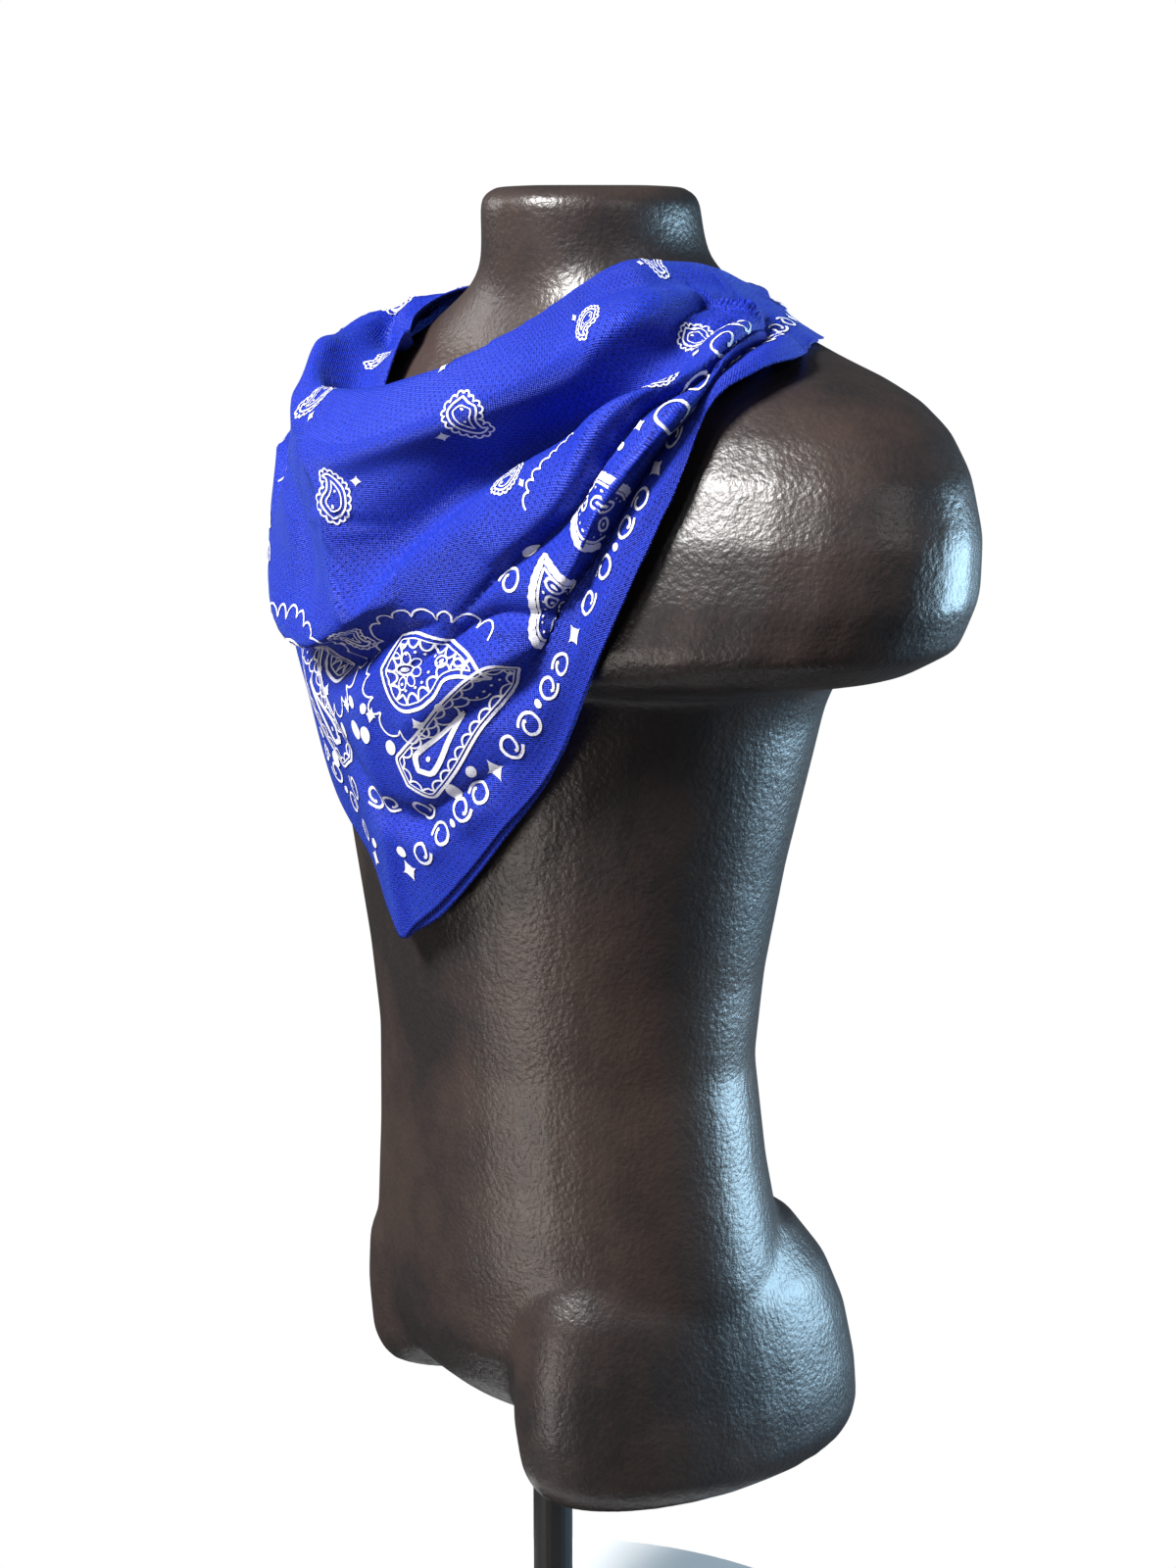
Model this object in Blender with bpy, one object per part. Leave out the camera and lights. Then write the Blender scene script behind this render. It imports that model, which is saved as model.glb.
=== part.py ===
"""A square bandana, folded corner to corner and worn round the neck of a torso form on a counter stand.

Frame: metres, +Z up, the wearer's front faces -Y and the wearer's left is +X. The origin is the middle of
the stand's underside. The form is a plain lofted torso. The bandana is worked out in polar sections round
the neck: each section runs from the tuck inside the cowl, over the rolled crest and down to the hem, and
the folds are laid on it.
"""

import math
from collections import namedtuple

import bmesh
import bpy
import numpy as np
from mathutils import Vector
from mathutils.bvhtree import BVHTree

# ---------------------------------------------------------------- driving dimensions

NECK_BASE_HEIGHT = 0.850     # where the neck meets the shoulders, above the counter
NECK_AXIS_Y = 0.034          # the neck stands this far behind the stand's post

CLOTH_THICKNESS = 0.0012     # each layer of knit
LAYER_GAP = 0.0004           # between the two layers
FORM_CLEARANCE = 0.0054      # from the form to the bandana's outer face

UNDER_PEEK = 0.0070          # how far the under layer shows past the hem beside the point
UNDER_SHORT = 0.0008         # how far it stays back elsewhere
PEEK_BEARING = 22.0          # the middle of the stretch where it shows
PEEK_SPREAD = 19.0

BASE_RADIUS = 0.150
BASE_THICKNESS = 0.009
BASE_EDGE = 0.0025
POST_RADIUS = 0.0115
COLLAR_RADIUS = 0.018
COLLAR_HEIGHT = 0.012
SEAM_GAP = 0.0003            # between pieces that rest on each other

FORM_SIDES = 40
STUB_SIDES = 28
POST_SIDES = 24
BASE_SIDES = 48

KNOT_CENTRE = (0.0, 0.0895, -0.0250)   # from the neck's axis and base
KNOT_DEPTH = 0.72            # of its height
KNOT_SLANT = 0.28            # how far the wrap leans across the knot
KNOT_SIDES = 22
TAIL_THICKNESS = 0.0030
TAIL_RINGS = 19
TAIL_PLEAT = 0.0022          # how far the tail's lengthwise pleats stand out

# ---------------------------------------------------------------- tables

# Torso, one row for each level. Heights are from the neck base, centre_y from the neck's axis.
FormRing = namedtuple("FormRing", "height half_width half_depth centre_x centre_y")
TORSO = [
    FormRing(0.040, 0.0300, 0.0310, 0.000, -0.006),
    FormRing(0.039, 0.0500, 0.0520, 0.000, -0.006),
    FormRing(0.034, 0.0580, 0.0600, 0.000, -0.006),
    FormRing(0.016, 0.0590, 0.0610, 0.000, -0.004),
    FormRing(0.003, 0.0620, 0.0620, 0.000, -0.002),
    FormRing(-0.005, 0.0690, 0.0640, 0.000, 0.001),
    FormRing(-0.0150, 0.0840, 0.0660, 0.001, 0.003),
    FormRing(-0.0230, 0.1020, 0.0700, 0.002, 0.005),
    FormRing(-0.0360, 0.1280, 0.0750, 0.003, 0.006),
    FormRing(-0.0470, 0.1570, 0.0810, 0.005, 0.007),
    FormRing(-0.0560, 0.1860, 0.0870, 0.008, 0.006),
    FormRing(-0.0660, 0.2090, 0.0930, 0.012, 0.004),
    FormRing(-0.0800, 0.2280, 0.1010, 0.015, 0.001),
    FormRing(-0.1000, 0.2420, 0.1100, 0.017, -0.003),
    FormRing(-0.1300, 0.2510, 0.1190, 0.018, -0.007),
    FormRing(-0.160, 0.2510, 0.1240, 0.018, -0.010),
    FormRing(-0.186, 0.2400, 0.1260, 0.017, -0.013),
    FormRing(-0.201, 0.2130, 0.1250, 0.014, -0.015),
    FormRing(-0.208, 0.1840, 0.1230, 0.009, -0.016),
    FormRing(-0.212, 0.1650, 0.1220, 0.004, -0.017),
    FormRing(-0.232, 0.1590, 0.1180, 0.001, -0.019),
    FormRing(-0.260, 0.1540, 0.1150, 0.000, -0.021),
    FormRing(-0.320, 0.1410, 0.1050, 0.000, -0.024),
    FormRing(-0.380, 0.1300, 0.0960, 0.000, -0.025),
    FormRing(-0.430, 0.1250, 0.0910, 0.000, -0.025),
    FormRing(-0.490, 0.1300, 0.0940, 0.000, -0.021),
    FormRing(-0.545, 0.1370, 0.1000, 0.000, -0.016),
    FormRing(-0.590, 0.1370, 0.1010, 0.000, -0.012),
    FormRing(-0.618, 0.1240, 0.0920, 0.000, -0.010),
    FormRing(-0.634, 0.0950, 0.0720, 0.000, -0.012),
    FormRing(-0.638, 0.0620, 0.0500, 0.000, -0.016),
]

# The two thigh stubs. The wearer's right one ends higher up.
StubRing = namedtuple("StubRing", "height centre_x half_width half_depth centre_y")
THIGH_STUBS = {
    "left": [
        StubRing(-0.530, 0.0720, 0.0500, 0.0820, -0.010),
        StubRing(-0.560, 0.0750, 0.0620, 0.1010, -0.006),
        StubRing(-0.590, 0.0770, 0.0640, 0.1110, -0.002),
        StubRing(-0.625, 0.0790, 0.0650, 0.1160, 0.001),
        StubRing(-0.652, 0.0800, 0.0640, 0.1150, 0.004),
        StubRing(-0.665, 0.0805, 0.0580, 0.1080, 0.005),
        StubRing(-0.668, 0.0805, 0.0420, 0.0880, 0.005),
    ],
    "right": [
        StubRing(-0.530, -0.0700, 0.0480, 0.0780, -0.010),
        StubRing(-0.560, -0.0740, 0.0570, 0.0920, -0.009),
        StubRing(-0.590, -0.0760, 0.0580, 0.0940, -0.007),
        StubRing(-0.624, -0.0775, 0.0570, 0.0910, -0.006),
        StubRing(-0.637, -0.0780, 0.0510, 0.0840, -0.006),
        StubRing(-0.640, -0.0780, 0.0370, 0.0670, -0.006),
    ],
}

# The bandana's sections, one row for each bearing round the neck: 0 is the front, + the wearer's left.
# Each column pair is a distance out from the neck's axis and a height above the neck base.
Section = namedtuple(
    "Section",
    "bearing tuck_out tuck_up lip_out lip_up crest_out crest_up swell_out swell_up fall_out fall_up"
    " hem_out hem_up",
)
SECTIONS = [
    Section(-166.2, 0.078, -0.023, 0.080, -0.019, 0.083, -0.0165, 0.087, -0.0185, 0.09, -0.024, 0.093, -0.031),
    Section(-150, 0.076, -0.016, 0.079, -0.0125, 0.084, -0.0115, 0.091, -0.016, 0.100, -0.026, 0.107, -0.039),
    Section(-130, 0.079, -0.017, 0.084, -0.014, 0.091, -0.013, 0.102, -0.018, 0.116, -0.029, 0.127, -0.044),
    Section(-110, 0.084, -0.017, 0.091, -0.017, 0.103, -0.018, 0.120, -0.023, 0.142, -0.034, 0.158, -0.048),
    Section(-90, 0.089, -0.015, 0.104, -0.018, 0.127, -0.021, 0.150, -0.027, 0.173, -0.041, 0.191, -0.061),
    Section(-75, 0.096, -0.017, 0.119, -0.025, 0.146, -0.0255, 0.164, -0.034, 0.186, -0.062, 0.199, -0.105),
    Section(-60, 0.104, -0.026, 0.127, -0.044, 0.150, -0.041, 0.167, -0.062, 0.183, -0.118, 0.190, -0.184),
    Section(-45, 0.108, -0.040, 0.132, -0.068, 0.156, -0.051, 0.171, -0.085, 0.174, -0.160, 0.163, -0.245),
    Section(-30, 0.120, -0.078, 0.135, -0.086, 0.152, -0.064, 0.171, -0.098, 0.170, -0.185, 0.147, -0.290),
    Section(-15, 0.125, -0.106, 0.134, -0.088, 0.147, -0.0645, 0.169, -0.100, 0.166, -0.190, 0.135, -0.323),
    Section(-5, 0.125, -0.112, 0.132, -0.086, 0.145, -0.0625, 0.168, -0.098, 0.167, -0.193, 0.137, -0.346),
    Section(0, 0.125, -0.112, 0.131, -0.085, 0.144, -0.061, 0.168, -0.097, 0.167, -0.195, 0.138, -0.356),
    Section(5, 0.125, -0.110, 0.131, -0.082, 0.143, -0.0585, 0.167, -0.095, 0.167, -0.194, 0.139, -0.347),
    Section(15, 0.122, -0.098, 0.127, -0.073, 0.136, -0.050, 0.162, -0.084, 0.169, -0.185, 0.144, -0.329),
    Section(30, 0.107, -0.064, 0.111, -0.048, 0.122, -0.031, 0.150, -0.060, 0.172, -0.150, 0.156, -0.288),
    Section(45, 0.090, -0.030, 0.092, -0.018, 0.099, -0.0095, 0.132, -0.034, 0.175, -0.108, 0.173, -0.229),
    Section(52, 0.085, -0.018, 0.087, -0.008, 0.094, -0.002, 0.127, -0.020, 0.176, -0.075, 0.197, -0.173),
    Section(60, 0.081, -0.010, 0.083, -0.002, 0.090, 0.0025, 0.122, -0.011, 0.172, -0.052, 0.1995, -0.113),
    Section(67, 0.079, -0.008, 0.081, -0.001, 0.087, 0.0022, 0.118, -0.010, 0.160, -0.037, 0.1865, -0.069),
    Section(75, 0.079, -0.007, 0.080, -0.002, 0.085, 0.0015, 0.115, -0.010, 0.152, -0.032, 0.182, -0.0525),
    Section(85, 0.079, -0.008, 0.081, -0.003, 0.085, 0.0005, 0.112, -0.012, 0.144, -0.030, 0.172, -0.0455),
    Section(95, 0.080, -0.010, 0.082, -0.006, 0.086, -0.0025, 0.105, -0.014, 0.129, -0.029, 0.149, -0.043),
    Section(110, 0.082, -0.014, 0.083, -0.012, 0.086, -0.009, 0.097, -0.017, 0.114, -0.031, 0.131, -0.0455),
    Section(130, 0.080, -0.017, 0.081, -0.014, 0.084, -0.0125, 0.091, -0.018, 0.102, -0.029, 0.112, -0.042),
    Section(150, 0.076, -0.017, 0.079, -0.0135, 0.083, -0.0125, 0.088, -0.017, 0.096, -0.027, 0.103, -0.040),
    Section(166.2, 0.078, -0.023, 0.080, -0.0195, 0.083, -0.017, 0.087, -0.019, 0.09, -0.0245, 0.093, -0.0315),
]

# Folds that stand out of (+) or sink into (-) the cloth. A path is a run of (bearing, share of the way
# down) places. tilt above 0 makes the hem side of the fold the steeper one, below 0 the neck side. lean
# slides the fold's top towards the hem, as a share of its height.
Fold = namedtuple("Fold", "name path height width tilt lean")
FOLDS = [
    Fold(
        "front_swell",
        ((70, 0.43), (56, 0.34), (40, 0.28), (24, 0.30), (7, 0.31), (-10, 0.30)),
        0.005, 0.022, 0, 0,
    ),
    Fold(
        "swag_valley",
        ((76, 0.56), (64, 0.57), (52, 0.50), (40, 0.42), (22, 0.43), (2, 0.45)),
        -0.011, 0.024, 0, 0,
    ),
    Fold(
        "swag_ridge",
        ((80, 0.66), (65, 0.66), (51, 0.54), (34, 0.44), (17, 0.48), (2, 0.51)),
        0.007, 0.011, -0.6, 0,
    ),
    Fold(
        "side_ridge",
        ((-18, 0.24), (-8, 0.32), (-5, 0.41), (-4, 0.48), (2, 0.53)),
        0.005, 0.013, 0, 0,
    ),
    Fold(
        "pouch",
        ((-54, 0.60), (-36, 0.60), (-20, 0.59), (-6, 0.56), (8, 0.53)),
        0.007, 0.017, 0.4, 0,
    ),
    Fold(
        "pouch_undercut",
        ((-58, 0.80), (-40, 0.76), (-20, 0.69), (-2, 0.64), (12, 0.66)),
        -0.007, 0.010, 0, 0,
    ),
    Fold(
        "first_pleat",
        ((74, 0.70), (64, 0.71), (54, 0.67), (46, 0.64), (36, 0.62)),
        -0.006, 0.0055, 0, 0,
    ),
    Fold(
        "rolled_pleat",
        ((86, 0.76), (66, 0.77), (56, 0.70), (46, 0.68), (37, 0.72), (28, 0.77)),
        0.006, 0.010, 0.3, 0.3,
    ),
    Fold(
        "hem_crease",
        ((88, 0.86), (68, 0.86), (56, 0.77), (44, 0.76), (32, 0.81), (22, 0.88)),
        -0.006, 0.0060, 0, 0,
    ),
    Fold("hem_band", ((84, 0.94), (65, 0.95), (54, 0.90), (42, 0.88), (28, 0.93)), 0.003, 0.011, 0, 0),
    Fold("pinch", ((44, 0.71), (35, 0.665), (26, 0.645), (16, 0.64), (4, 0.65)), -0.006, 0.0075, 0, 0),
    Fold("pinch_ridge", ((42, 0.75), (33, 0.71), (24, 0.70), (12, 0.72)), 0.004, 0.009, 0, 0),
    Fold(
        "tip_valley",
        ((30, 0.84), (22, 0.86), (10, 0.86), (-4, 0.81), (-16, 0.76)),
        -0.005, 0.013, 0, 0,
    ),
    Fold("inside_groove", ((-76, 0.42), (-60, 0.32), (-50, 0.27), (-38, 0.24)), -0.004, 0.008, 0, 0),
    Fold("inside_pleat", ((-80, 0.36), (-68, 0.26), (-58, 0.19), (-46, 0.14)), 0.005, 0.009, 0, 0),
    Fold("neck_crease", ((96, 0.42), (82, 0.36), (66, 0.33), (52, 0.29)), -0.003, 0.008, 0, 0),
]

# How closely the bandana's grid is spaced: the bearings of some of its columns, and how far down some
# of its rows are.
COLUMN_STOPS = ((0, -166.2), (14, -70), (32, 0), (50, 70), (64, 166.2))
ROW_STOPS = ((0, 0.0), (8, 0.25), (17, 0.64), (29, 1.0))
UNDER_FROM_DOWN = 0.74       # the under layer is built as the hem band alone, up to here
UNDER_BEARINGS = (-72, 105)

# The knot, from the wearer's right to left: a gathered bundle with one turn of cloth round its middle.
KnotRing = namedtuple("KnotRing", "across half_height")
KNOT = [
    KnotRing(-0.0206, 0.0034),
    KnotRing(-0.0198, 0.0070),
    KnotRing(-0.0155, 0.0100),
    KnotRing(-0.0105, 0.0104),
    KnotRing(-0.0090, 0.0130),
    KnotRing(-0.0050, 0.0146),
    KnotRing(0.0000, 0.0150),
    KnotRing(0.0050, 0.0146),
    KnotRing(0.0090, 0.0130),
    KnotRing(0.0105, 0.0104),
    KnotRing(0.0155, 0.0100),
    KnotRing(0.0198, 0.0070),
    KnotRing(0.0206, 0.0034),
]

# The two tails, from the knot down. Across and back are from the neck's axis, and the right tail's
# across is mirrored.
TailRing = namedtuple("TailRing", "across back height half_width")
TAILS = {
    "left": [
        TailRing(0.0060, 0.0935, -0.0408, 0.0050),
        TailRing(0.0110, 0.0975, -0.0470, 0.0088),
        TailRing(0.0170, 0.1015, -0.0555, 0.0130),
        TailRing(0.0235, 0.1050, -0.0655, 0.0172),
        TailRing(0.0295, 0.1078, -0.0760, 0.0190),
        TailRing(0.0345, 0.1098, -0.0855, 0.0140),
        TailRing(0.0385, 0.1112, -0.0935, 0.0075),
        TailRing(0.0415, 0.1122, -0.0995, 0.0015),
    ],
    "right": [
        TailRing(0.0080, 0.0935, -0.0410, 0.0050),
        TailRing(0.0110, 0.0975, -0.0480, 0.0085),
        TailRing(0.0145, 0.1020, -0.0585, 0.0125),
        TailRing(0.0180, 0.1060, -0.0710, 0.0160),
        TailRing(0.0210, 0.1090, -0.0830, 0.0172),
        TailRing(0.0235, 0.1110, -0.0935, 0.0125),
        TailRing(0.0255, 0.1122, -0.1020, 0.0065),
        TailRing(0.0270, 0.1130, -0.1080, 0.0015),
    ],
}

FINISH = {
    "bandana_knit": ((0.030, 0.045, 0.560), 0.55, 0.0),
    "form_metal": ((0.022, 0.021, 0.022), 0.42, 0.6),
    "stand_metal": ((0.028, 0.028, 0.030), 0.38, 0.7),
}


# ---------------------------------------------------------------- small helpers

def clear_scene():
    for thing in list(bpy.data.objects):
        bpy.data.objects.remove(thing)


def material(slot):
    colour, roughness, metallic = FINISH[slot]
    made = bpy.data.materials.new(slot)
    made.use_nodes = True
    shader = made.node_tree.nodes["Principled BSDF"]
    shader.inputs["Base Color"].default_value = (*colour, 1.0)
    shader.inputs["Roughness"].default_value = roughness
    shader.inputs["Metallic"].default_value = metallic
    made.diffuse_color = (*colour, 1.0)
    return made


def place(name, mesh, finish, parent=None):
    """A mesh as a named object with its finish, outward faces and smooth shading."""
    work = bmesh.new()
    work.from_mesh(mesh)
    bmesh.ops.recalc_face_normals(work, faces=work.faces)
    work.to_mesh(mesh)
    work.free()
    mesh.materials.append(finish)
    mesh.shade_smooth()
    thing = bpy.data.objects.new(name, mesh)
    bpy.context.scene.collection.objects.link(thing)
    thing.parent = parent
    return thing


def hermite(knots, values, at):
    """A smooth curve through values at uneven knots (Catmull-Rom tangents), read at the places in at."""
    knots = np.asarray(knots, float)
    values = np.asarray(values, float)
    slopes = np.gradient(values, knots, axis=0)
    left = np.clip(np.searchsorted(knots, at, side="right") - 1, 0, len(knots) - 2)
    step = knots[left + 1] - knots[left]
    u = (np.asarray(at) - knots[left]) / step
    shape = (-1,) + (1,) * (values.ndim - 1)
    u, step = u.reshape(shape), step.reshape(shape)
    return (
        (2 * u**3 - 3 * u**2 + 1) * values[left]
        + (u**3 - 2 * u**2 + u) * step * slopes[left]
        + (3 * u**2 - 2 * u**3) * values[left + 1]
        + (u**3 - u**2) * step * slopes[left + 1]
    )


def grid_normals(points):
    """Unit normals of a (rows, columns, 3) grid, on the side that faces out of the cloth."""
    down = np.gradient(points, axis=0)
    along = np.gradient(points, axis=1)
    normals = np.cross(along, down)
    normals /= np.maximum(np.linalg.norm(normals, axis=2, keepdims=True), 1e-12)
    return -normals


def rings_mesh(name, rings):
    """A closed mesh through rings of equal count, from the first, capped at both ends."""
    work = bmesh.new()
    loops = [[work.verts.new(p) for p in ring] for ring in rings]
    count = len(loops[0])
    for upper, lower in zip(loops, loops[1:]):
        for i in range(count):
            j = (i + 1) % count
            work.faces.new((upper[i], upper[j], lower[j], lower[i]))
    work.faces.new(loops[0])
    work.faces.new(loops[-1])
    mesh = bpy.data.meshes.new(name)
    work.to_mesh(mesh)
    work.free()
    return mesh


def ellipse(centre, half_width, half_depth, sides):
    turns = np.arange(sides) * 2 * math.pi / sides
    return [
        (centre[0] + half_width * math.sin(a), centre[1] - half_depth * math.cos(a), centre[2])
        for a in turns
    ]


def wall_mesh(name, outer, inner):
    """A closed wall between two (rows, columns, 3) grids, with a rim all round."""
    rows, columns = outer.shape[:2]
    work = bmesh.new()
    faces_out = [[work.verts.new(p) for p in row] for row in outer]
    faces_in = [[work.verts.new(p) for p in row] for row in inner]
    for i in range(rows - 1):
        for j in range(columns - 1):
            for side in (faces_out, faces_in):
                work.faces.new((side[i][j], side[i][j + 1], side[i + 1][j + 1], side[i + 1][j]))
    edge = [(0, j) for j in range(columns)]
    edge += [(i, columns - 1) for i in range(1, rows)]
    edge += [(rows - 1, j) for j in range(columns - 2, -1, -1)]
    edge += [(i, 0) for i in range(rows - 2, 0, -1)]
    for (i, j), (k, m) in zip(edge, edge[1:] + edge[:1]):
        work.faces.new((faces_out[i][j], faces_in[i][j], faces_in[k][m], faces_out[k][m]))
    mesh = bpy.data.meshes.new(name)
    work.to_mesh(mesh)
    work.free()
    return mesh


# ---------------------------------------------------------------- form and stand

def torso_form(finish, parent):
    """Neck, shoulders, chest and hips in one loft, with two short thigh stubs joined on below."""
    rings = [
        ellipse(
            (r.centre_x, NECK_AXIS_Y + r.centre_y, NECK_BASE_HEIGHT + r.height),
            r.half_width,
            r.half_depth,
            FORM_SIDES,
        )
        for r in TORSO
    ]
    torso = place("torso_form", rings_mesh("torso_form", rings), finish, parent)
    for side, table in THIGH_STUBS.items():
        rings = [
            ellipse(
                (r.centre_x, NECK_AXIS_Y + r.centre_y, NECK_BASE_HEIGHT + r.height),
                r.half_width,
                r.half_depth,
                STUB_SIDES,
            )
            for r in table
        ]
        stub = place(f"thigh_guide_{side}", rings_mesh(f"thigh_guide_{side}", rings), finish, parent)
        stub.hide_render = True
        stub.display_type = "WIRE"
        join = torso.modifiers.new(f"thigh_{side}", "BOOLEAN")
        join.operation = "UNION"
        join.object = stub
    torso.data.set_sharp_from_angle(angle=math.radians(60))
    return torso


def lathe(name, profile, centre, sides, finish, parent):
    """A turned piece from (radius, height) pairs, bottom to top."""
    rings = [ellipse((centre[0], centre[1], h), r, r, sides) for r, h in profile]
    thing = place(name, rings_mesh(name, rings), finish, parent)
    thing.data.set_sharp_from_angle(angle=math.radians(40))
    return thing


def stand(finish, parent, form_bottom):
    """A round base plate, a post and the collar that carries the form."""
    top = BASE_THICKNESS
    lathe(
        "stand_base",
        [(BASE_RADIUS, 0.0), (BASE_RADIUS, top - BASE_EDGE), (BASE_RADIUS - BASE_EDGE, top)],
        (0, 0),
        BASE_SIDES,
        finish,
        parent,
    )
    post_bottom = top + SEAM_GAP
    collar_bottom = form_bottom - SEAM_GAP - COLLAR_HEIGHT
    lathe(
        "stand_post",
        [(POST_RADIUS, post_bottom), (POST_RADIUS, collar_bottom - SEAM_GAP)],
        (0, 0),
        POST_SIDES,
        finish,
        parent,
    )
    lathe(
        "stand_collar",
        [
            (COLLAR_RADIUS - BASE_EDGE, collar_bottom),
            (COLLAR_RADIUS, collar_bottom + BASE_EDGE),
            (COLLAR_RADIUS, form_bottom - SEAM_GAP),
        ],
        (0, 0),
        POST_SIDES,
        finish,
        parent,
    )


# ---------------------------------------------------------------- the bandana's surface

def section_points(bearings, downs):
    """The plain draped surface, a (rows, columns, 3) grid at these bearings and shares of the way down."""
    table = np.array([row[1:] for row in SECTIONS])
    keys = hermite([row.bearing for row in SECTIONS], table, np.asarray(bearings, float))
    keys = keys.reshape(len(bearings), 6, 2)
    grid = np.zeros((len(downs), len(bearings), 3))
    for j, (bearing, profile) in enumerate(zip(bearings, keys)):
        steps = np.linalg.norm(np.diff(profile, axis=0), axis=1) ** 0.75
        knots = np.concatenate([[0], np.cumsum(steps)])
        fine = hermite(knots, profile, np.linspace(0, knots[-1], 160))
        walked = np.concatenate([[0], np.cumsum(np.linalg.norm(np.diff(fine, axis=0), axis=1))])
        out = np.interp(np.asarray(downs) * walked[-1], walked, fine[:, 0])
        up = np.interp(np.asarray(downs) * walked[-1], walked, fine[:, 1])
        turn = math.radians(bearing)
        grid[:, j, 0] = out * math.sin(turn)
        grid[:, j, 1] = NECK_AXIS_Y - out * math.cos(turn)
        grid[:, j, 2] = NECK_BASE_HEIGHT + up
    return grid


def fold_offsets(points, normals):
    """How far each point of the plain surface moves for all the folds together, as a grid of vectors."""
    flat = points.reshape(-1, 3)
    flat_normals = normals.reshape(-1, 3)
    moved = np.zeros_like(flat)
    for fold in FOLDS:
        path = np.array(fold.path, float)
        s = np.linspace(0, 1, 49)
        places = hermite(np.linspace(0, 1, len(path)), path, s)
        spine = np.array([section_points([b], [d])[0, 0] for b, d in places])
        tangents = np.gradient(spine, axis=0)
        tangents /= np.linalg.norm(tangents, axis=1, keepdims=True)
        near = np.linalg.norm(flat[:, None, :] - spine[None, :, :], axis=2).argmin(axis=1)
        away = flat - spine[near]
        along = (away * tangents[near]).sum(axis=1)
        hemward = np.cross(flat_normals, tangents[near])
        hemward *= np.sign(hemward[:, 2:3]) * -1
        across = away - along[:, None] * tangents[near]
        side = np.sign((across * hemward).sum(axis=1))
        width = fold.width * (1 - 0.6 * fold.tilt * side)
        spread = np.linalg.norm(across, axis=1) / width
        past_end = np.exp(-((along / fold.width) ** 2))
        lift = fold.height * np.exp(-(spread**2)) * np.sin(s[near] * math.pi) ** 0.6 * past_end
        moved += lift[:, None] * (flat_normals + fold.lean * hemward)
    return moved.reshape(points.shape)


def hold_off(points, tree, clearance):
    """Moves every point that is nearer than clearance to the form, or inside it, out to that distance."""
    held = points.copy()
    for index in np.ndindex(points.shape[:2]):
        p = Vector(points[index])
        spot, normal, _, gap = tree.find_nearest(p)
        signed = (p - spot).dot(normal)
        signed = math.copysign(gap, signed)
        if signed < clearance:
            held[index] = np.array(spot + normal * clearance)
    return held


def cloth_surface(bearings, downs, tree):
    plain = section_points(bearings, downs)
    normals = grid_normals(plain)
    folded = plain + fold_offsets(plain, normals)
    return hold_off(folded, tree, FORM_CLEARANCE)


def stops(table):
    """Values at every whole step, from a table of some of them."""
    steps, values = zip(*table)
    return np.interp(np.arange(steps[-1] + 1), steps, values)


def bandana_layers(finish, parent, tree):
    """The top layer, and the hem band of the under layer made from the same points moved in."""
    bearings, downs = stops(COLUMN_STOPS), stops(ROW_STOPS)
    face = cloth_surface(bearings, downs, tree)
    normals = grid_normals(face)
    back = face - normals * CLOTH_THICKNESS
    place("bandana_top_layer", wall_mesh("bandana_top_layer", face, back), finish, parent)

    rows = downs >= UNDER_FROM_DOWN
    columns = (bearings >= UNDER_BEARINGS[0]) & (bearings <= UNDER_BEARINGS[1])
    outward = normals[rows][:, columns]
    under = face[rows][:, columns] - outward * (CLOTH_THICKNESS + LAYER_GAP)
    hemward = under[-1] - under[-2]
    hemward /= np.linalg.norm(hemward, axis=1, keepdims=True)
    peek = UNDER_PEEK * np.exp(-(((bearings[columns] - PEEK_BEARING) / PEEK_SPREAD) ** 4))
    under[-1] += hemward * (peek - UNDER_SHORT)[:, None]
    under = hold_off(under, tree, FORM_CLEARANCE - CLOTH_THICKNESS - LAYER_GAP - SEAM_GAP)
    inner = under - outward * CLOTH_THICKNESS
    place("bandana_under_layer", wall_mesh("bandana_under_layer", under, inner), finish, parent)


def knot(finish, parent):
    """A tied knot at the nape, in rings from side to side. The wrap's rings lean, the others do not."""
    rings = []
    for ring in KNOT:
        lean = KNOT_SLANT * math.cos(ring.across / KNOT[-1].across * math.pi / 2)
        points = []
        for turn in np.arange(KNOT_SIDES) * 2 * math.pi / KNOT_SIDES:
            height = ring.half_height * math.cos(turn)
            points.append(
                (
                    KNOT_CENTRE[0] + ring.across + lean * height,
                    NECK_AXIS_Y + KNOT_CENTRE[1] + KNOT_DEPTH * ring.half_height * math.sin(turn),
                    NECK_BASE_HEIGHT + KNOT_CENTRE[2] + height,
                )
            )
        rings.append(points)
    place("knot", rings_mesh("knot", rings), finish, parent)


def tail(name, table, side, finish, parent):
    """One tied end below the knot, with two soft pleats along it and the cloth's corner at its tip."""
    steps = np.linspace(0, len(table) - 1, TAIL_RINGS)
    table = hermite(np.arange(len(table)), table, steps)
    middles = np.column_stack(
        [side * table[:, 0], NECK_AXIS_Y + table[:, 1], NECK_BASE_HEIGHT + table[:, 2]]
    )
    run = np.gradient(middles, axis=0)
    run /= np.linalg.norm(run, axis=1, keepdims=True)
    rings = []
    places = np.linspace(-1, 1, 9)
    for middle, direction, half_width in zip(middles, run, table[:, 3]):
        across = np.cross(direction, (0, 1, 0))
        across /= np.linalg.norm(across)
        outward = np.cross(across, direction)
        outward *= np.sign(outward[1])
        pleat = TAIL_PLEAT * np.cos(places * 2 * math.pi) * half_width / table[:, 3].max()
        flat = [middle + across * v * half_width + outward * w for v, w in zip(places, pleat)]
        half = [outward * TAIL_THICKNESS / 2 * math.sqrt(1 - 0.8 * v * v) for v in places]
        rings.append([p + h for p, h in zip(flat, half)] + [p - h for p, h in zip(flat[::-1], half[::-1])])
    place(name, rings_mesh(name, rings), finish, parent)


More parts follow.
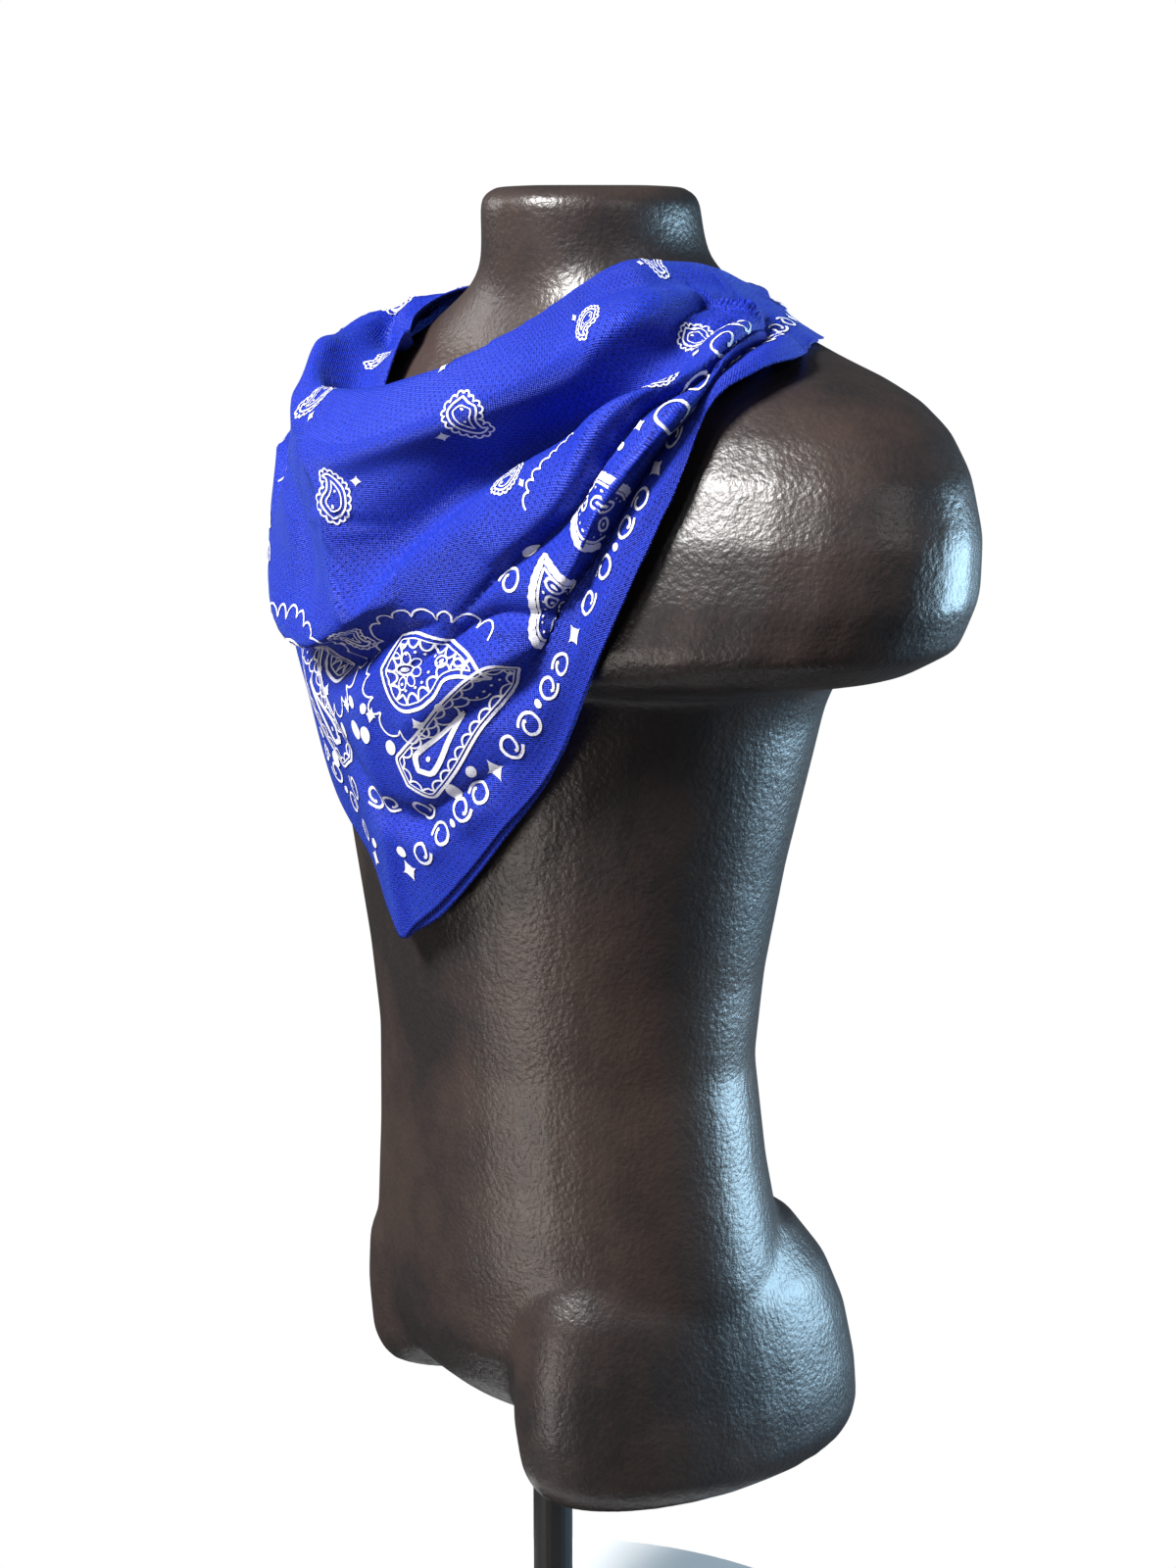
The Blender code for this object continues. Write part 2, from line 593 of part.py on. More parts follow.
def main():
    clear_scene()
    root = bpy.data.objects.new("bandana_on_form", None)
    bpy.context.scene.collection.objects.link(root)
    form = torso_form(material("form_metal"), root)
    stand(material("stand_metal"), root, NECK_BASE_HEIGHT + TORSO[-1].height)
    bpy.context.view_layer.update()
    tree = BVHTree.FromObject(form, bpy.context.evaluated_depsgraph_get())
    knit = material("bandana_knit")
    bandana_layers(knit, root, tree)
    knot(knit, root)
    tail("tail_left", TAILS["left"], 1, knit, root)
    tail("tail_right", TAILS["right"], -1, knit, root)


main()
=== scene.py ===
# %% [markdown]
# # A bandana worn on a torso form
#
# This notebook dresses a plain solid model in its looks. The solids come from the part's own
# construction, and everything here is made around them in the same metres: +Z is up, the wearer's front
# faces -Y, the wearer's left is +X, and the origin is under the stand. The real thing is one square of
# printed knit, folded corner to corner, tied at the nape and spread over a display torso. Each step below
# says what the piece is on the real object, how it could be made, and why it is made the way it is.

# %% Tools and the frame
import math
from collections import namedtuple

import bmesh
import bpy
import numpy as np
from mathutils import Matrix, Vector
from mathutils.bvhtree import BVHTree
from mathutils.geometry import barycentric_transform


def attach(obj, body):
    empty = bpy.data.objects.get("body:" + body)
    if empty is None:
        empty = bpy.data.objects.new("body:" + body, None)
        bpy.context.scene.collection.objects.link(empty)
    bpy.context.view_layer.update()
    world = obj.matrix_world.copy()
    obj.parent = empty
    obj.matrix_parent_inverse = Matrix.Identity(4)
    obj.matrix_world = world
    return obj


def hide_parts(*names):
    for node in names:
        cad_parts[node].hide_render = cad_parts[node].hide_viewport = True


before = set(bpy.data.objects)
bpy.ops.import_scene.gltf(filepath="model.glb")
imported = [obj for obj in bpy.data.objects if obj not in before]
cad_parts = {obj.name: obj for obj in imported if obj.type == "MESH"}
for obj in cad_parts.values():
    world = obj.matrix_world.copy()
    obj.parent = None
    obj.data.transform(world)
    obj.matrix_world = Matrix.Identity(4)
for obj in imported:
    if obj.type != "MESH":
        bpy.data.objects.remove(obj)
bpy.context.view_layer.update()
print("solids:", sorted(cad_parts))

# %% [markdown]
# ## The camera
# A product picture of a scarf is taken from a little above the chest and well to one side, so that the
# cowl, the folds on the shoulder and the point all show. A camera can be aimed with a constraint or by
# turning its rotation by hand. Here its place is worked out from an angle round the object, so that it is
# easy to read.

# %% Camera
LOOK_AT = Vector((-0.0035, 0.0298, 0.5600))
VIEW_AZIMUTH = math.radians(50)
VIEW_ELEVATION = math.radians(12)
VIEW_DISTANCE = 1.6
FOCAL_MM = 65.25
LONG_SIDE_MM = 36.0


def towards(azimuth, elevation):
    """The direction from the object to something at this angle round it and above the horizon."""
    return Vector(
        (
            math.sin(azimuth) * math.cos(elevation),
            -math.cos(azimuth) * math.cos(elevation),
            math.sin(elevation),
        )
    )


def link(name, data):
    """A new object in the scene."""
    thing = bpy.data.objects.new(name, data)
    bpy.context.scene.collection.objects.link(thing)
    return thing


def aim(thing, place, target):
    """Puts a camera or a lamp at a place, looking at a target."""
    thing.location = place
    thing.rotation_mode = "QUATERNION"
    thing.rotation_quaternion = (Vector(target) - Vector(place)).to_track_quat("-Z", "Y")


camera = link("camera", bpy.data.cameras.new("camera"))
camera.data.lens = FOCAL_MM
camera.data.sensor_width = LONG_SIDE_MM
aim(camera, LOOK_AT + VIEW_DISTANCE * towards(VIEW_AZIMUTH, VIEW_ELEVATION), LOOK_AT)
bpy.context.scene.camera = camera
print("camera at", [round(c, 3) for c in camera.location])

# %% [markdown]
# ## Shader maths as plain expressions
# A procedural finish is a chain of nodes. Adding and linking each one by hand hides the idea behind the
# wiring, so a small class wraps a socket: an expression such as `1 - mask * 0.4` then adds its Math nodes
# by itself. One method makes any other node from its type, its settings and its inputs.

# %% Finish and Value classes
class Value:
    """A socket of a material, on which +, - and * add Math nodes."""

    def __init__(self, finish, socket):
        self.finish = finish
        self.socket = socket

    def maths(self, operation, first, second):
        return self.finish.node("ShaderNodeMath", {"operation": operation}, {0: first, 1: second})

    def __add__(self, other):
        return self.maths("ADD", self, other)

    def __radd__(self, other):
        return self.maths("ADD", other, self)

    def __sub__(self, other):
        return self.maths("SUBTRACT", self, other)

    def __rsub__(self, other):
        return self.maths("SUBTRACT", other, self)

    def __mul__(self, other):
        return self.maths("MULTIPLY", self, other)

    def __rmul__(self, other):
        return self.maths("MULTIPLY", other, self)

    def sine(self):
        return self.finish.node("ShaderNodeMath", {"operation": "SINE"}, {0: self})

    def cosine(self):
        return self.finish.node("ShaderNodeMath", {"operation": "COSINE"}, {0: self})

    def rising(self, low, high):
        """This value stretched so that it is 0 below low and 1 above high."""
        return self.finish.node("ShaderNodeMapRange", None, {0: self, 1: low, 2: high, 3: 0.0, 4: 1.0})


class Finish:
    """A Principled material whose constants are set on its own sockets."""

    def __init__(self, name, **constants):
        self.material = bpy.data.materials.new(name)
        self.material.use_nodes = True
        self.tree = self.material.node_tree
        self.shader = self.tree.nodes["Principled BSDF"]
        for socket, value in constants.items():
            self.shader.inputs[socket.replace("_", " ")].default_value = value

    def node(self, kind, settings=None, inputs=None, output=0):
        made = self.tree.nodes.new(kind)
        for name, value in (settings or {}).items():
            setattr(made, name, value)
        for key, value in (inputs or {}).items():
            self.put(made.inputs[key], value)
        return Value(self, made.outputs[output])

    def put(self, socket, value):
        if isinstance(value, Value):
            self.tree.links.new(value.socket, socket)
        else:
            socket.default_value = value

    def feed(self, **inputs):
        """What changes over the surface, into the shader's own sockets."""
        for socket, value in inputs.items():
            self.put(self.shader.inputs[socket.replace("_", " ")], value)

    def noise(self, place, scale, detail=2.0, roughness=0.5):
        """Even noise with this many cells to the metre, from 0 to 1."""
        inputs = {"Vector": place, "Scale": scale, "Detail": detail, "Roughness": roughness}
        return self.node("ShaderNodeTexNoise", None, inputs)

    def mix(self, share, low, high):
        """A colour between two colours. The sockets for them share their names, so they go by number."""
        settings = {"data_type": "RGBA", "blend_type": "MIX"}
        return self.node("ShaderNodeMix", settings, {0: share, 6: low, 7: high}, output=2)

    def bump(self, height, distance, strength, under=None):
        """Normals tilted by a height, on top of the ones in under."""
        inputs = {"Height": height, "Distance": distance, "Strength": strength}
        if under is not None:
            inputs["Normal"] = under
        return self.node("ShaderNodeBump", None, inputs)


print("helpers ready")

# %% [markdown]
# ## Stage and light
# The object stands on a round white table before a white wall. Cloth folds read by the difference between
# faces that look at the light and faces that look away, so most of the light comes from one lamp high
# before the wearer's chest. A cool lamp behind the left flank draws the edge of the dark form. The wall
# is white to the eye, but gives the object only a dim light, as a wall some way behind it would.

# %% Stage and light
TURN = 2 * math.pi
Lamp = namedtuple("Lamp", "name azimuth elevation distance size watts colour")
LAMPS = [
    Lamp("key", -4, 44, 2.2, 0.6, 112, (1.0, 0.985, 0.96)),
    Lamp("front", 22, 34, 2.2, 0.30, 3.2, (0.96, 0.98, 1.0)),
    Lamp("far_side", -70, 20, 2.4, 0.8, 9, (1.0, 0.99, 0.98)),
    Lamp("near_side", 88, 34, 2.4, 0.5, 4, (1.0, 0.99, 0.98)),
    Lamp("cool_edge", 150, -6, 2.2, 1.2, 95, (0.50, 0.78, 1.0)),
    Lamp("low_card", -4, -26, 1.5, 0.5, 4.6, (1.0, 0.90, 0.83)),
]
LAMP_TARGET = (0.0, 0.0, 0.66)
WALL_SEEN = 1.0
WALL_LIGHT = 0.06
TABLE_RADIUS = 0.22
TABLE_DROP = 0.0003
TABLE_SIDES = 96
TABLE_WHITE = (0.88, 0.88, 0.885, 1)
TABLE_ROUGHNESS = 0.9

for lamp in LAMPS:
    light = bpy.data.lights.new(lamp.name, "AREA")
    light.energy = lamp.watts
    light.size = lamp.size
    light.color = lamp.colour
    direction = towards(math.radians(lamp.azimuth), math.radians(lamp.elevation))
    aim(link(lamp.name, light), Vector(LAMP_TARGET) + lamp.distance * direction, LAMP_TARGET)

world = bpy.data.worlds.new("white_wall")
bpy.context.scene.world = world
world.use_nodes = True
wall = world.node_tree
wall_light = wall.nodes["Background"]
wall_light.inputs["Strength"].default_value = WALL_LIGHT
wall_seen = wall.nodes.new("ShaderNodeBackground")
wall_seen.inputs["Strength"].default_value = WALL_SEEN
for shade in (wall_light, wall_seen):
    shade.inputs["Color"].default_value = (1, 1, 1, 1)
either = wall.nodes.new("ShaderNodeMixShader")
wall.links.new(wall.nodes.new("ShaderNodeLightPath").outputs["Is Camera Ray"], either.inputs[0])
wall.links.new(wall_light.outputs[0], either.inputs[1])
wall.links.new(wall_seen.outputs[0], either.inputs[2])
wall.links.new(either.outputs[0], wall.nodes["World Output"].inputs["Surface"])
bpy.context.scene.view_settings.view_transform = "Standard"

floor_mesh = bpy.data.meshes.new("white_table")
turns = np.arange(TABLE_SIDES) * TURN / TABLE_SIDES
rim = [(TABLE_RADIUS * math.cos(turn), TABLE_RADIUS * math.sin(turn), -TABLE_DROP) for turn in turns]
floor_mesh.from_pydata(rim, [], [range(TABLE_SIDES)])
floor = link("white_table", floor_mesh)
table_finish = Finish("white_table", Base_Color=TABLE_WHITE, Roughness=TABLE_ROUGHNESS)
floor_mesh.materials.append(table_finish.material)
print(len(LAMPS), "lamps")

# %% [markdown]
# ## The cloth's plain drape
# Round the neck the cloth always runs the same way: up from the tuck inside the cowl, over a rolled
# crest, out over the chest or shoulder and down to the hem. It could be simulated, but a worn scarf is
# arranged by hand, and a simulation rarely falls into the same folds. Here each row of a table is one
# such section at one bearing round the neck, and a smooth curve runs through the rows.

# %% Sections of the drape
NECK_BASE_HEIGHT = 0.850
NECK_AXIS_Y = 0.034
PROFILE_POINTS = 160
PROFILE_SPACING = 0.75

# a bearing in degrees, then places out from the neck's axis and up from its base, in millimetres
Section = namedtuple(
    "Section",
    "bearing tuck_out tuck_up lip_out lip_up crest_out crest_up swell_out swell_up fall_out fall_up"
    " hem_out hem_up",
)
SECTIONS = [
    Section(-166.2, 78, -23, 80, -19, 83, -16.5, 87, -18.5, 90, -24, 93, -31),
    Section(-150, 76, -16, 79, -12.5, 84, -11.5, 91, -16, 100, -26, 107, -39),
    Section(-130, 79, -17, 84, -14, 91, -13, 102, -18, 116, -29, 127, -44),
    Section(-110, 84, -17, 91, -17, 103, -18, 120, -23, 142, -34, 158, -48),
    Section(-90, 89, -15, 104, -18, 127, -21, 150, -27, 173, -41, 191, -61),
    Section(-75, 96, -17, 119, -25, 146, -25.5, 164, -34, 186, -62, 199, -105),
    Section(-60, 104, -26, 127, -44, 150, -41, 167, -62, 183, -118, 190, -184),
    Section(-45, 108, -40, 132, -68, 156, -51, 171, -85, 174, -160, 163, -245),
    Section(-30, 120, -78, 135, -86, 152, -64, 171, -98, 170, -185, 147, -290),
    Section(-15, 125, -106, 134, -88, 147, -64.5, 169, -100, 166, -190, 135, -323),
    Section(-5, 125, -112, 132, -86, 145, -62.5, 168, -98, 167, -193, 137, -346),
    Section(0, 125, -112, 131, -85, 144, -61, 168, -97, 167, -195, 138, -356),
    Section(5, 125, -110, 131, -82, 143, -58.5, 167, -95, 167, -194, 139, -347),
    Section(15, 122, -98, 127, -73, 136, -50, 162, -84, 169, -185, 144, -329),
    Section(30, 107, -64, 111, -48, 122, -31, 150, -60, 172, -150, 156, -288),
    Section(45, 90, -30, 92, -18, 99, -9.5, 132, -34, 175, -108, 173, -229),
    Section(52, 85, -18, 87, -8, 94, -2, 127, -20, 176, -75, 197, -173),
    Section(60, 81, -10, 83, -2, 90, 2.5, 122, -11, 172, -52, 199.5, -113),
    Section(67, 79, -8, 81, -1, 87, 2.2, 118, -10, 160, -37, 186.5, -69),
    Section(75, 79, -7, 80, -2, 85, 1.5, 115, -10, 152, -32, 182, -52.5),
    Section(85, 79, -8, 81, -3, 85, 0.5, 112, -12, 144, -30, 172, -45.5),
    Section(95, 80, -10, 82, -6, 86, -2.5, 105, -14, 129, -29, 149, -43),
    Section(110, 82, -14, 83, -12, 86, -9, 97, -17, 114, -31, 131, -45.5),
    Section(130, 80, -17, 81, -14, 84, -12.5, 91, -18, 102, -29, 112, -42),
    Section(150, 76, -17, 79, -13.5, 83, -12.5, 88, -17, 96, -27, 103, -40),
    Section(166.2, 78, -23, 80, -19.5, 83, -17, 87, -19, 90, -24.5, 93, -31.5),
]


def smooth_curve(knots, values, at):
    """A curve through values at uneven knots, read at the places in at."""
    knots = np.asarray(knots, float)
    values = np.asarray(values, float)
    slopes = np.gradient(values, knots, axis=0)
    left = np.clip(np.searchsorted(knots, at, side="right") - 1, 0, len(knots) - 2)
    step = knots[left + 1] - knots[left]
    u = (np.asarray(at) - knots[left]) / step
    shape = (-1,) + (1,) * (values.ndim - 1)
    u, step = u.reshape(shape), step.reshape(shape)
    return (
        (2 * u**3 - 3 * u**2 + 1) * values[left]
        + (u**3 - 2 * u**2 + u) * step * slopes[left]
        + (3 * u**2 - 2 * u**3) * values[left + 1]
        + (u**3 - u**2) * step * slopes[left + 1]
    )


def unit(vectors):
    """The same vectors with a length of 1."""
    return vectors / np.maximum(np.linalg.norm(vectors, axis=-1, keepdims=True), 1e-12)


def walked(points):
    """How far along a run of points each one is."""
    return np.concatenate([[0], np.cumsum(np.linalg.norm(np.diff(points, axis=0), axis=1))])


def plain_drape(bearings, downs):
    """A (rows, columns, 3) grid of the drape, before its folds are laid on it."""
    table = np.array([row[1:] for row in SECTIONS]) / 1000
    profiles = smooth_curve([row.bearing for row in SECTIONS], table, np.asarray(bearings, float))
    profiles = profiles.reshape(len(bearings), 6, 2)
    grid = np.zeros((len(downs), len(bearings), 3))
    for j, (bearing, profile) in enumerate(zip(bearings, profiles)):
        steps = np.linalg.norm(np.diff(profile, axis=0), axis=1)
        knots = np.concatenate([[0], np.cumsum(steps**PROFILE_SPACING)])
        fine = smooth_curve(knots, profile, np.linspace(0, knots[-1], PROFILE_POINTS))
        along = walked(fine)
        out, up = (np.interp(np.asarray(downs) * along[-1], along, fine[:, k]) for k in (0, 1))
        turn = math.radians(bearing)
        grid[:, j, 0] = out * math.sin(turn)
        grid[:, j, 1] = NECK_AXIS_Y - out * math.cos(turn)
        grid[:, j, 2] = NECK_BASE_HEIGHT + up
    return grid


print(len(SECTIONS), "sections")

# %% [markdown]
# ## The folds
# A fold is a soft ridge or trough that wanders over the drape, deepest in its middle and fading at its
# ends. Each one is given as a path of (bearing, share of the way down) places with a height, a
# width, a tilt that makes one side steeper, and a lean that tips its top over towards the hem. Summed
# over the drape, a few large ones and several fine ones look like cloth that has been pulled into place.

# %% Folds
FOLD_POINTS = 81
FOLD_FADE = 0.6
FOLD_POWERS = {"soft": 2, "crease": 1.15}
TILT_SHARE = 0.6
# height and width are in millimetres
Fold = namedtuple("Fold", "name kind height width tilt lean path")
FOLDS = [
    # the cowl and the swag below it
    Fold("front_swell", "soft", 13.5, 16.5, 0.5, 0.7,
         ((78, 0.44), (66, 0.42), (56, 0.355), (46, 0.30), (33, 0.27), (17, 0.26), (0, 0.265), (-16, 0.26))),
    Fold("swag_valley", "soft", -30, 15, 0.45, 0,
         ((86, 0.51), (74, 0.57), (65, 0.59), (59, 0.54), (55, 0.495), (50, 0.435), (45, 0.39),
          (38, 0.37), (31, 0.375), (23, 0.395), (11, 0.43), (0, 0.465))),
    Fold("swag_ridge", "crease", 9, 7, -0.9, 0,
         ((86, 0.56), (74, 0.62), (65, 0.64), (59, 0.59), (55, 0.54), (50, 0.475), (45, 0.425),
          (38, 0.40), (31, 0.405), (23, 0.425), (11, 0.47), (2, 0.51))),
    Fold("side_ridge", "crease", 9.5, 12, 0.3, 0,
         ((-16, 0.22), (-10, 0.28), (-3, 0.33), (-2, 0.40), (2, 0.50))),
    Fold("side_dip", "soft", -6, 12, 0, 0, ((-30, 0.30), (-20, 0.36), (-15, 0.44), (-14, 0.52))),
    Fold("pouch", "soft", 12.5, 12.5, 0.7, 0.8,
         ((-54, 0.58), (-36, 0.575), (-21, 0.57), (-10, 0.545), (2, 0.49), (14, 0.50))),
    Fold("pouch_undercut", "crease", -15, 7.5, -0.2, 0,
         ((-58, 0.80), (-40, 0.74), (-22, 0.655), (-12, 0.63), (0, 0.57), (12, 0.56), (22, 0.58))),
    # the pleats that run from the near shoulder to the point
    Fold("field_lip", "soft", 12.5, 11.5, 0.7, 0.6,
         ((84, 0.62), (76, 0.645), (68, 0.695), (62, 0.635), (56, 0.565), (50, 0.535), (42, 0.525),
          (30, 0.53))),
    Fold("first_pleat", "crease", -16, 4.2, -0.3, 0,
         ((90, 0.65), (79, 0.67), (68, 0.735), (62, 0.675), (56, 0.60), (50, 0.57), (43, 0.565),
          (35, 0.565), (24, 0.59))),
    Fold("rolled_pleat", "soft", 15, 10.5, 0.4, 0.8,
         ((92, 0.69), (78, 0.715), (68, 0.78), (61, 0.72), (55, 0.675), (49, 0.655), (41, 0.66),
          (34, 0.69))),
    Fold("hem_crease", "crease", -14, 4.2, -0.3, 0,
         ((98, 0.695), (84, 0.732), (74, 0.785), (68, 0.84), (62, 0.785), (56, 0.76), (50, 0.755),
          (40, 0.775), (30, 0.81))),
    Fold("hem_band", "soft", 7.5, 12, -0.3, 0,
         ((94, 0.88), (84, 0.91), (72, 0.955), (62, 0.955), (52, 0.90), (42, 0.875), (34, 0.88))),
    Fold("hem_ripple", "soft", -2.4, 6, 0, 0, ((64, 1.0), (56, 0.93), (49, 0.865), (43, 0.84))),
    Fold("mid_crease", "crease", -5, 3.6, 0, 0,
         ((84, 0.57), (74, 0.59), (66, 0.635), (60, 0.61), (55, 0.575))),
    Fold("pinch", "crease", -10, 5.6, 0.2, 0,
         ((46, 0.715), (39, 0.67), (32, 0.63), (24, 0.615), (9, 0.625))),
    Fold("pinch_ridge", "soft", 6.5, 7.5, 0, 0.3,
         ((44, 0.76), (38, 0.73), (31, 0.70), (22, 0.69), (10, 0.70))),
    Fold("pinch_tail", "crease", -5.5, 5, 0, 0, ((40, 0.80), (32, 0.76), (24, 0.745), (14, 0.76))),
    # the loose cloth over the point
    Fold("tip_valley", "soft", -6.5, 9, 0, 0,
         ((-14, 0.75), (-4, 0.78), (5, 0.82), (15, 0.875), (24, 0.93))),
    Fold("tip_crease", "crease", -5, 5.5, 0, 0, ((34, 0.90), (26, 0.875), (16, 0.85), (6, 0.845))),
    Fold("tip_roll", "soft", 2.8, 7, 0, 0, ((30, 0.93), (20, 0.91), (10, 0.90))),
    # creases by the neck and on the near shoulder
    Fold("neck_crease", "crease", -6.5, 6, 0.3, 0,
         ((94, 0.42), (82, 0.39), (73, 0.44), (65, 0.46), (57, 0.42))),
    Fold("neck_shade", "soft", -5, 8.5, 0, 0, ((88, 0.30), (78, 0.27), (66, 0.28), (55, 0.21), (44, 0.14))),
    Fold("shoulder_roll", "soft", 5, 6, 0, 0.3, ((96, 0.52), (84, 0.53), (74, 0.56), (66, 0.60))),
    Fold("shoulder_crease", "crease", -5, 4.4, 0, 0, ((102, 0.62), (91, 0.66), (82, 0.74), (74, 0.76))),
    Fold("shoulder_nip", "crease", -4, 4.2, 0, 0, ((106, 0.48), (97, 0.47), (88, 0.50))),
    # inside the cowl
    Fold("inside_groove", "crease", -17, 6.5, 0, 0,
         ((-78, 0.34), (-69, 0.24), (-62, 0.16), (-54, 0.08), (-46, 0.0))),
    Fold("inside_pleat", "soft", 6.5, 8, 0, 0, ((-80, 0.45), (-66, 0.36), (-56, 0.29), (-44, 0.24))),
    Fold("inside_line", "crease", -5, 5, 0, 0, ((-82, 0.25), (-70, 0.14), (-56, 0.07))),
    Fold("front_roll", "soft", 3.5, 7, 0, 0, ((-44, 0.34), (-33, 0.25), (-16, 0.21))),
    # the far side, which falls in a swag of its own
    Fold("far_valley", "soft", -18, 15, 0.4, 0,
         ((-90, 0.50), (-76, 0.55), (-62, 0.49), (-48, 0.42), (-32, 0.42))),
    Fold("far_ridge", "crease", 8.5, 8, -0.8, 0,
         ((-92, 0.60), (-76, 0.64), (-61, 0.57), (-46, 0.48), (-34, 0.47))),
    Fold("far_pleat", "crease", -8.5, 6, 0, 0,
         ((-92, 0.76), (-78, 0.77), (-64, 0.72), (-52, 0.68), (-40, 0.70))),
    Fold("far_roll", "soft", 5.5, 8, 0.3, 0.4, ((-88, 0.84), (-72, 0.84), (-58, 0.78), (-46, 0.77))),
    Fold("far_hem_crease", "crease", -6.5, 6, 0, 0,
         ((-94, 0.90), (-76, 0.91), (-60, 0.86), (-44, 0.87), (-28, 0.90))),
    Fold("far_neck_crease", "crease", -5, 5.5, 0, 0, ((-100, 0.50), (-88, 0.47), (-76, 0.50), (-66, 0.56))),
    # the gathered straps that run back to the knot
    Fold("left_strap_upper", "soft", 2.8, 3.6, 0, 0, ((104, 0.28), (124, 0.30), (146, 0.34), (163, 0.42))),
    Fold("left_strap_middle", "soft", 3.4, 4.2, 0.3, 0,
         ((98, 0.60), (120, 0.57), (142, 0.58), (165, 0.56))),
    Fold("left_strap_lower", "soft", 2.7, 3.6, 0, 0, ((110, 0.84), (130, 0.82), (150, 0.76), (164, 0.68))),
    Fold("right_strap_upper", "soft", 2.9, 3.8, 0, 0,
         ((-102, 0.34), (-122, 0.33), (-144, 0.38), (-163, 0.44))),
    Fold("right_strap_middle", "soft", 3.4, 4, 0.3, 0,
         ((-96, 0.68), (-118, 0.63), (-140, 0.62), (-165, 0.58))),
    Fold("right_strap_lower", "soft", 2.6, 3.6, 0, 0,
         ((-114, 0.87), (-134, 0.83), (-152, 0.77), (-164, 0.70))),
]


def fold_moves(grid, normals, folds):
    """How far each point moves for all the folds together."""
    flat, flat_normals = grid.reshape(-1, 3), normals.reshape(-1, 3)
    moved = np.zeros_like(flat)
    share = np.linspace(0, 1, FOLD_POINTS)
    for fold in folds:
        height, width = fold.height / 1000, fold.width / 1000
        path = np.array(fold.path, float)
        places = smooth_curve(np.linspace(0, 1, len(path)), path, share)
        spine = np.array([plain_drape([b], [d])[0, 0] for b, d in places])
        tangents = unit(np.gradient(spine, axis=0))
        near = np.linalg.norm(flat[:, None, :] - spine[None, :, :], axis=2).argmin(axis=1)
        away = flat - spine[near]
        along = (away * tangents[near]).sum(axis=1)
        hemward = np.cross(flat_normals, tangents[near])
        hemward *= -np.sign(hemward[:, 2:3])
        across = away - along[:, None] * tangents[near]
        side = np.sign((across * hemward).sum(axis=1))
        spread = np.linalg.norm(across, axis=1) / (width * (1 - TILT_SHARE * fold.tilt * side))
        past_end = np.exp(-((along / width) ** 2))
        shape = np.exp(-(spread ** FOLD_POWERS[fold.kind]))
        lift = height * shape * np.sin(share[near] * math.pi) ** FOLD_FADE * past_end
        moved += lift[:, None] * (flat_normals + fold.lean * hemward)
    return moved.reshape(grid.shape)


print(len(FOLDS), "folds")

# %% [markdown]
# ## The torso form
# The stand-in for the wearer is a cast torso with cut arms and thighs. It is smooth and plain in shape,
# and its character is all in the dark hammered metal. The solid already has the right shape with flat
# facets, so a finer skin goes over it: the solid is remeshed in small even squares and relaxed, which
# also melts the thighs into the hips.

# %% Torso skin
SKIN_GRAIN = 0.0035
SKIN_RELAX = 0.5
SKIN_RELAX_ROUNDS = 14
WELD_REACH = 0.00002


def apply_modifiers(thing):
    """Swaps a thing's mesh for what its modifiers make of it."""
    shown = thing.evaluated_get(bpy.context.evaluated_depsgraph_get())
    mesh = bpy.data.meshes.new_from_object(shown)
    old = thing.data
    thing.modifiers.clear()
    thing.data = mesh
    bpy.data.meshes.remove(old)
    mesh.name = thing.name


torso_skin = link("torso_skin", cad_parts["torso_form"].data.copy())
torso_skin.data.materials.clear()
weld = torso_skin.modifiers.new("weld", "WELD")
weld.merge_threshold = WELD_REACH
remesh = torso_skin.modifiers.new("even_grain", "REMESH")
remesh.mode = "VOXEL"
remesh.voxel_size = SKIN_GRAIN
relax = torso_skin.modifiers.new("relax", "SMOOTH")
relax.factor = SKIN_RELAX
relax.iterations = SKIN_RELAX_ROUNDS
apply_modifiers(torso_skin)
torso_skin.data.shade_smooth()
form_tree = BVHTree.FromObject(torso_skin, bpy.context.evaluated_depsgraph_get())
print("torso skin:", len(torso_skin.data.polygons), "faces")

# %% [markdown]
# ## The worn drape
# The plain drape and its folds are added up on one grid of points, which lie closest where the folds are
# fine. Where the form would come through, the points are moved out until they clear it, and that move is
# shared with their neighbours so that no dent shows. A shrinkwrap modifier could do the same. Here it is
# done in Python, because the flat cut and the print need the same grid.

# %% The drape on the form
FORM_CLEARANCE = 0.0036
FORM_SPARE = 0.0006
PUSH_ROUNDS = 4
COLUMN_STOPS = ((0, -166.2), (44, -70), (84, -20), (112, 0), (160, 34), (268, 92), (308, 166.2))
ROW_STOPS = ((0, 0.0), (20, 0.25), (64, 0.55), (144, 0.95), (152, 1.0))


def stops(table):
    """A value at every whole step, from a table of some of them."""
    steps, values = zip(*table)
    return np.interp(np.arange(steps[-1] + 1), steps, values)


def outward_normals(grid):
    """Unit normals of a grid, on the face of the cloth that shows."""
    return unit(np.cross(np.gradient(grid, axis=0), np.gradient(grid, axis=1)))


def hold_off(grid, clearance):
    """Moves every point that is nearer than clearance to the form out to that distance."""
    held = grid.copy()
    for index in np.ndindex(grid.shape[:2]):
        point = Vector(grid[index])
        spot, normal, _, gap = form_tree.find_nearest(point)
        if (point - spot).dot(normal) < 0 or gap < clearance:
            held[index] = np.array(spot + normal * clearance)
    return held


def evened_grid(grid, rounds):
    """The grid with each inner point moved to the middle of its four neighbours, several times."""
    grid = grid.copy()
    for _ in range(rounds):
        middle = grid[:-2, 1:-1] + grid[2:, 1:-1] + grid[1:-1, :-2] + grid[1:-1, 2:]
        grid[1:-1, 1:-1] = middle / 4
    return grid


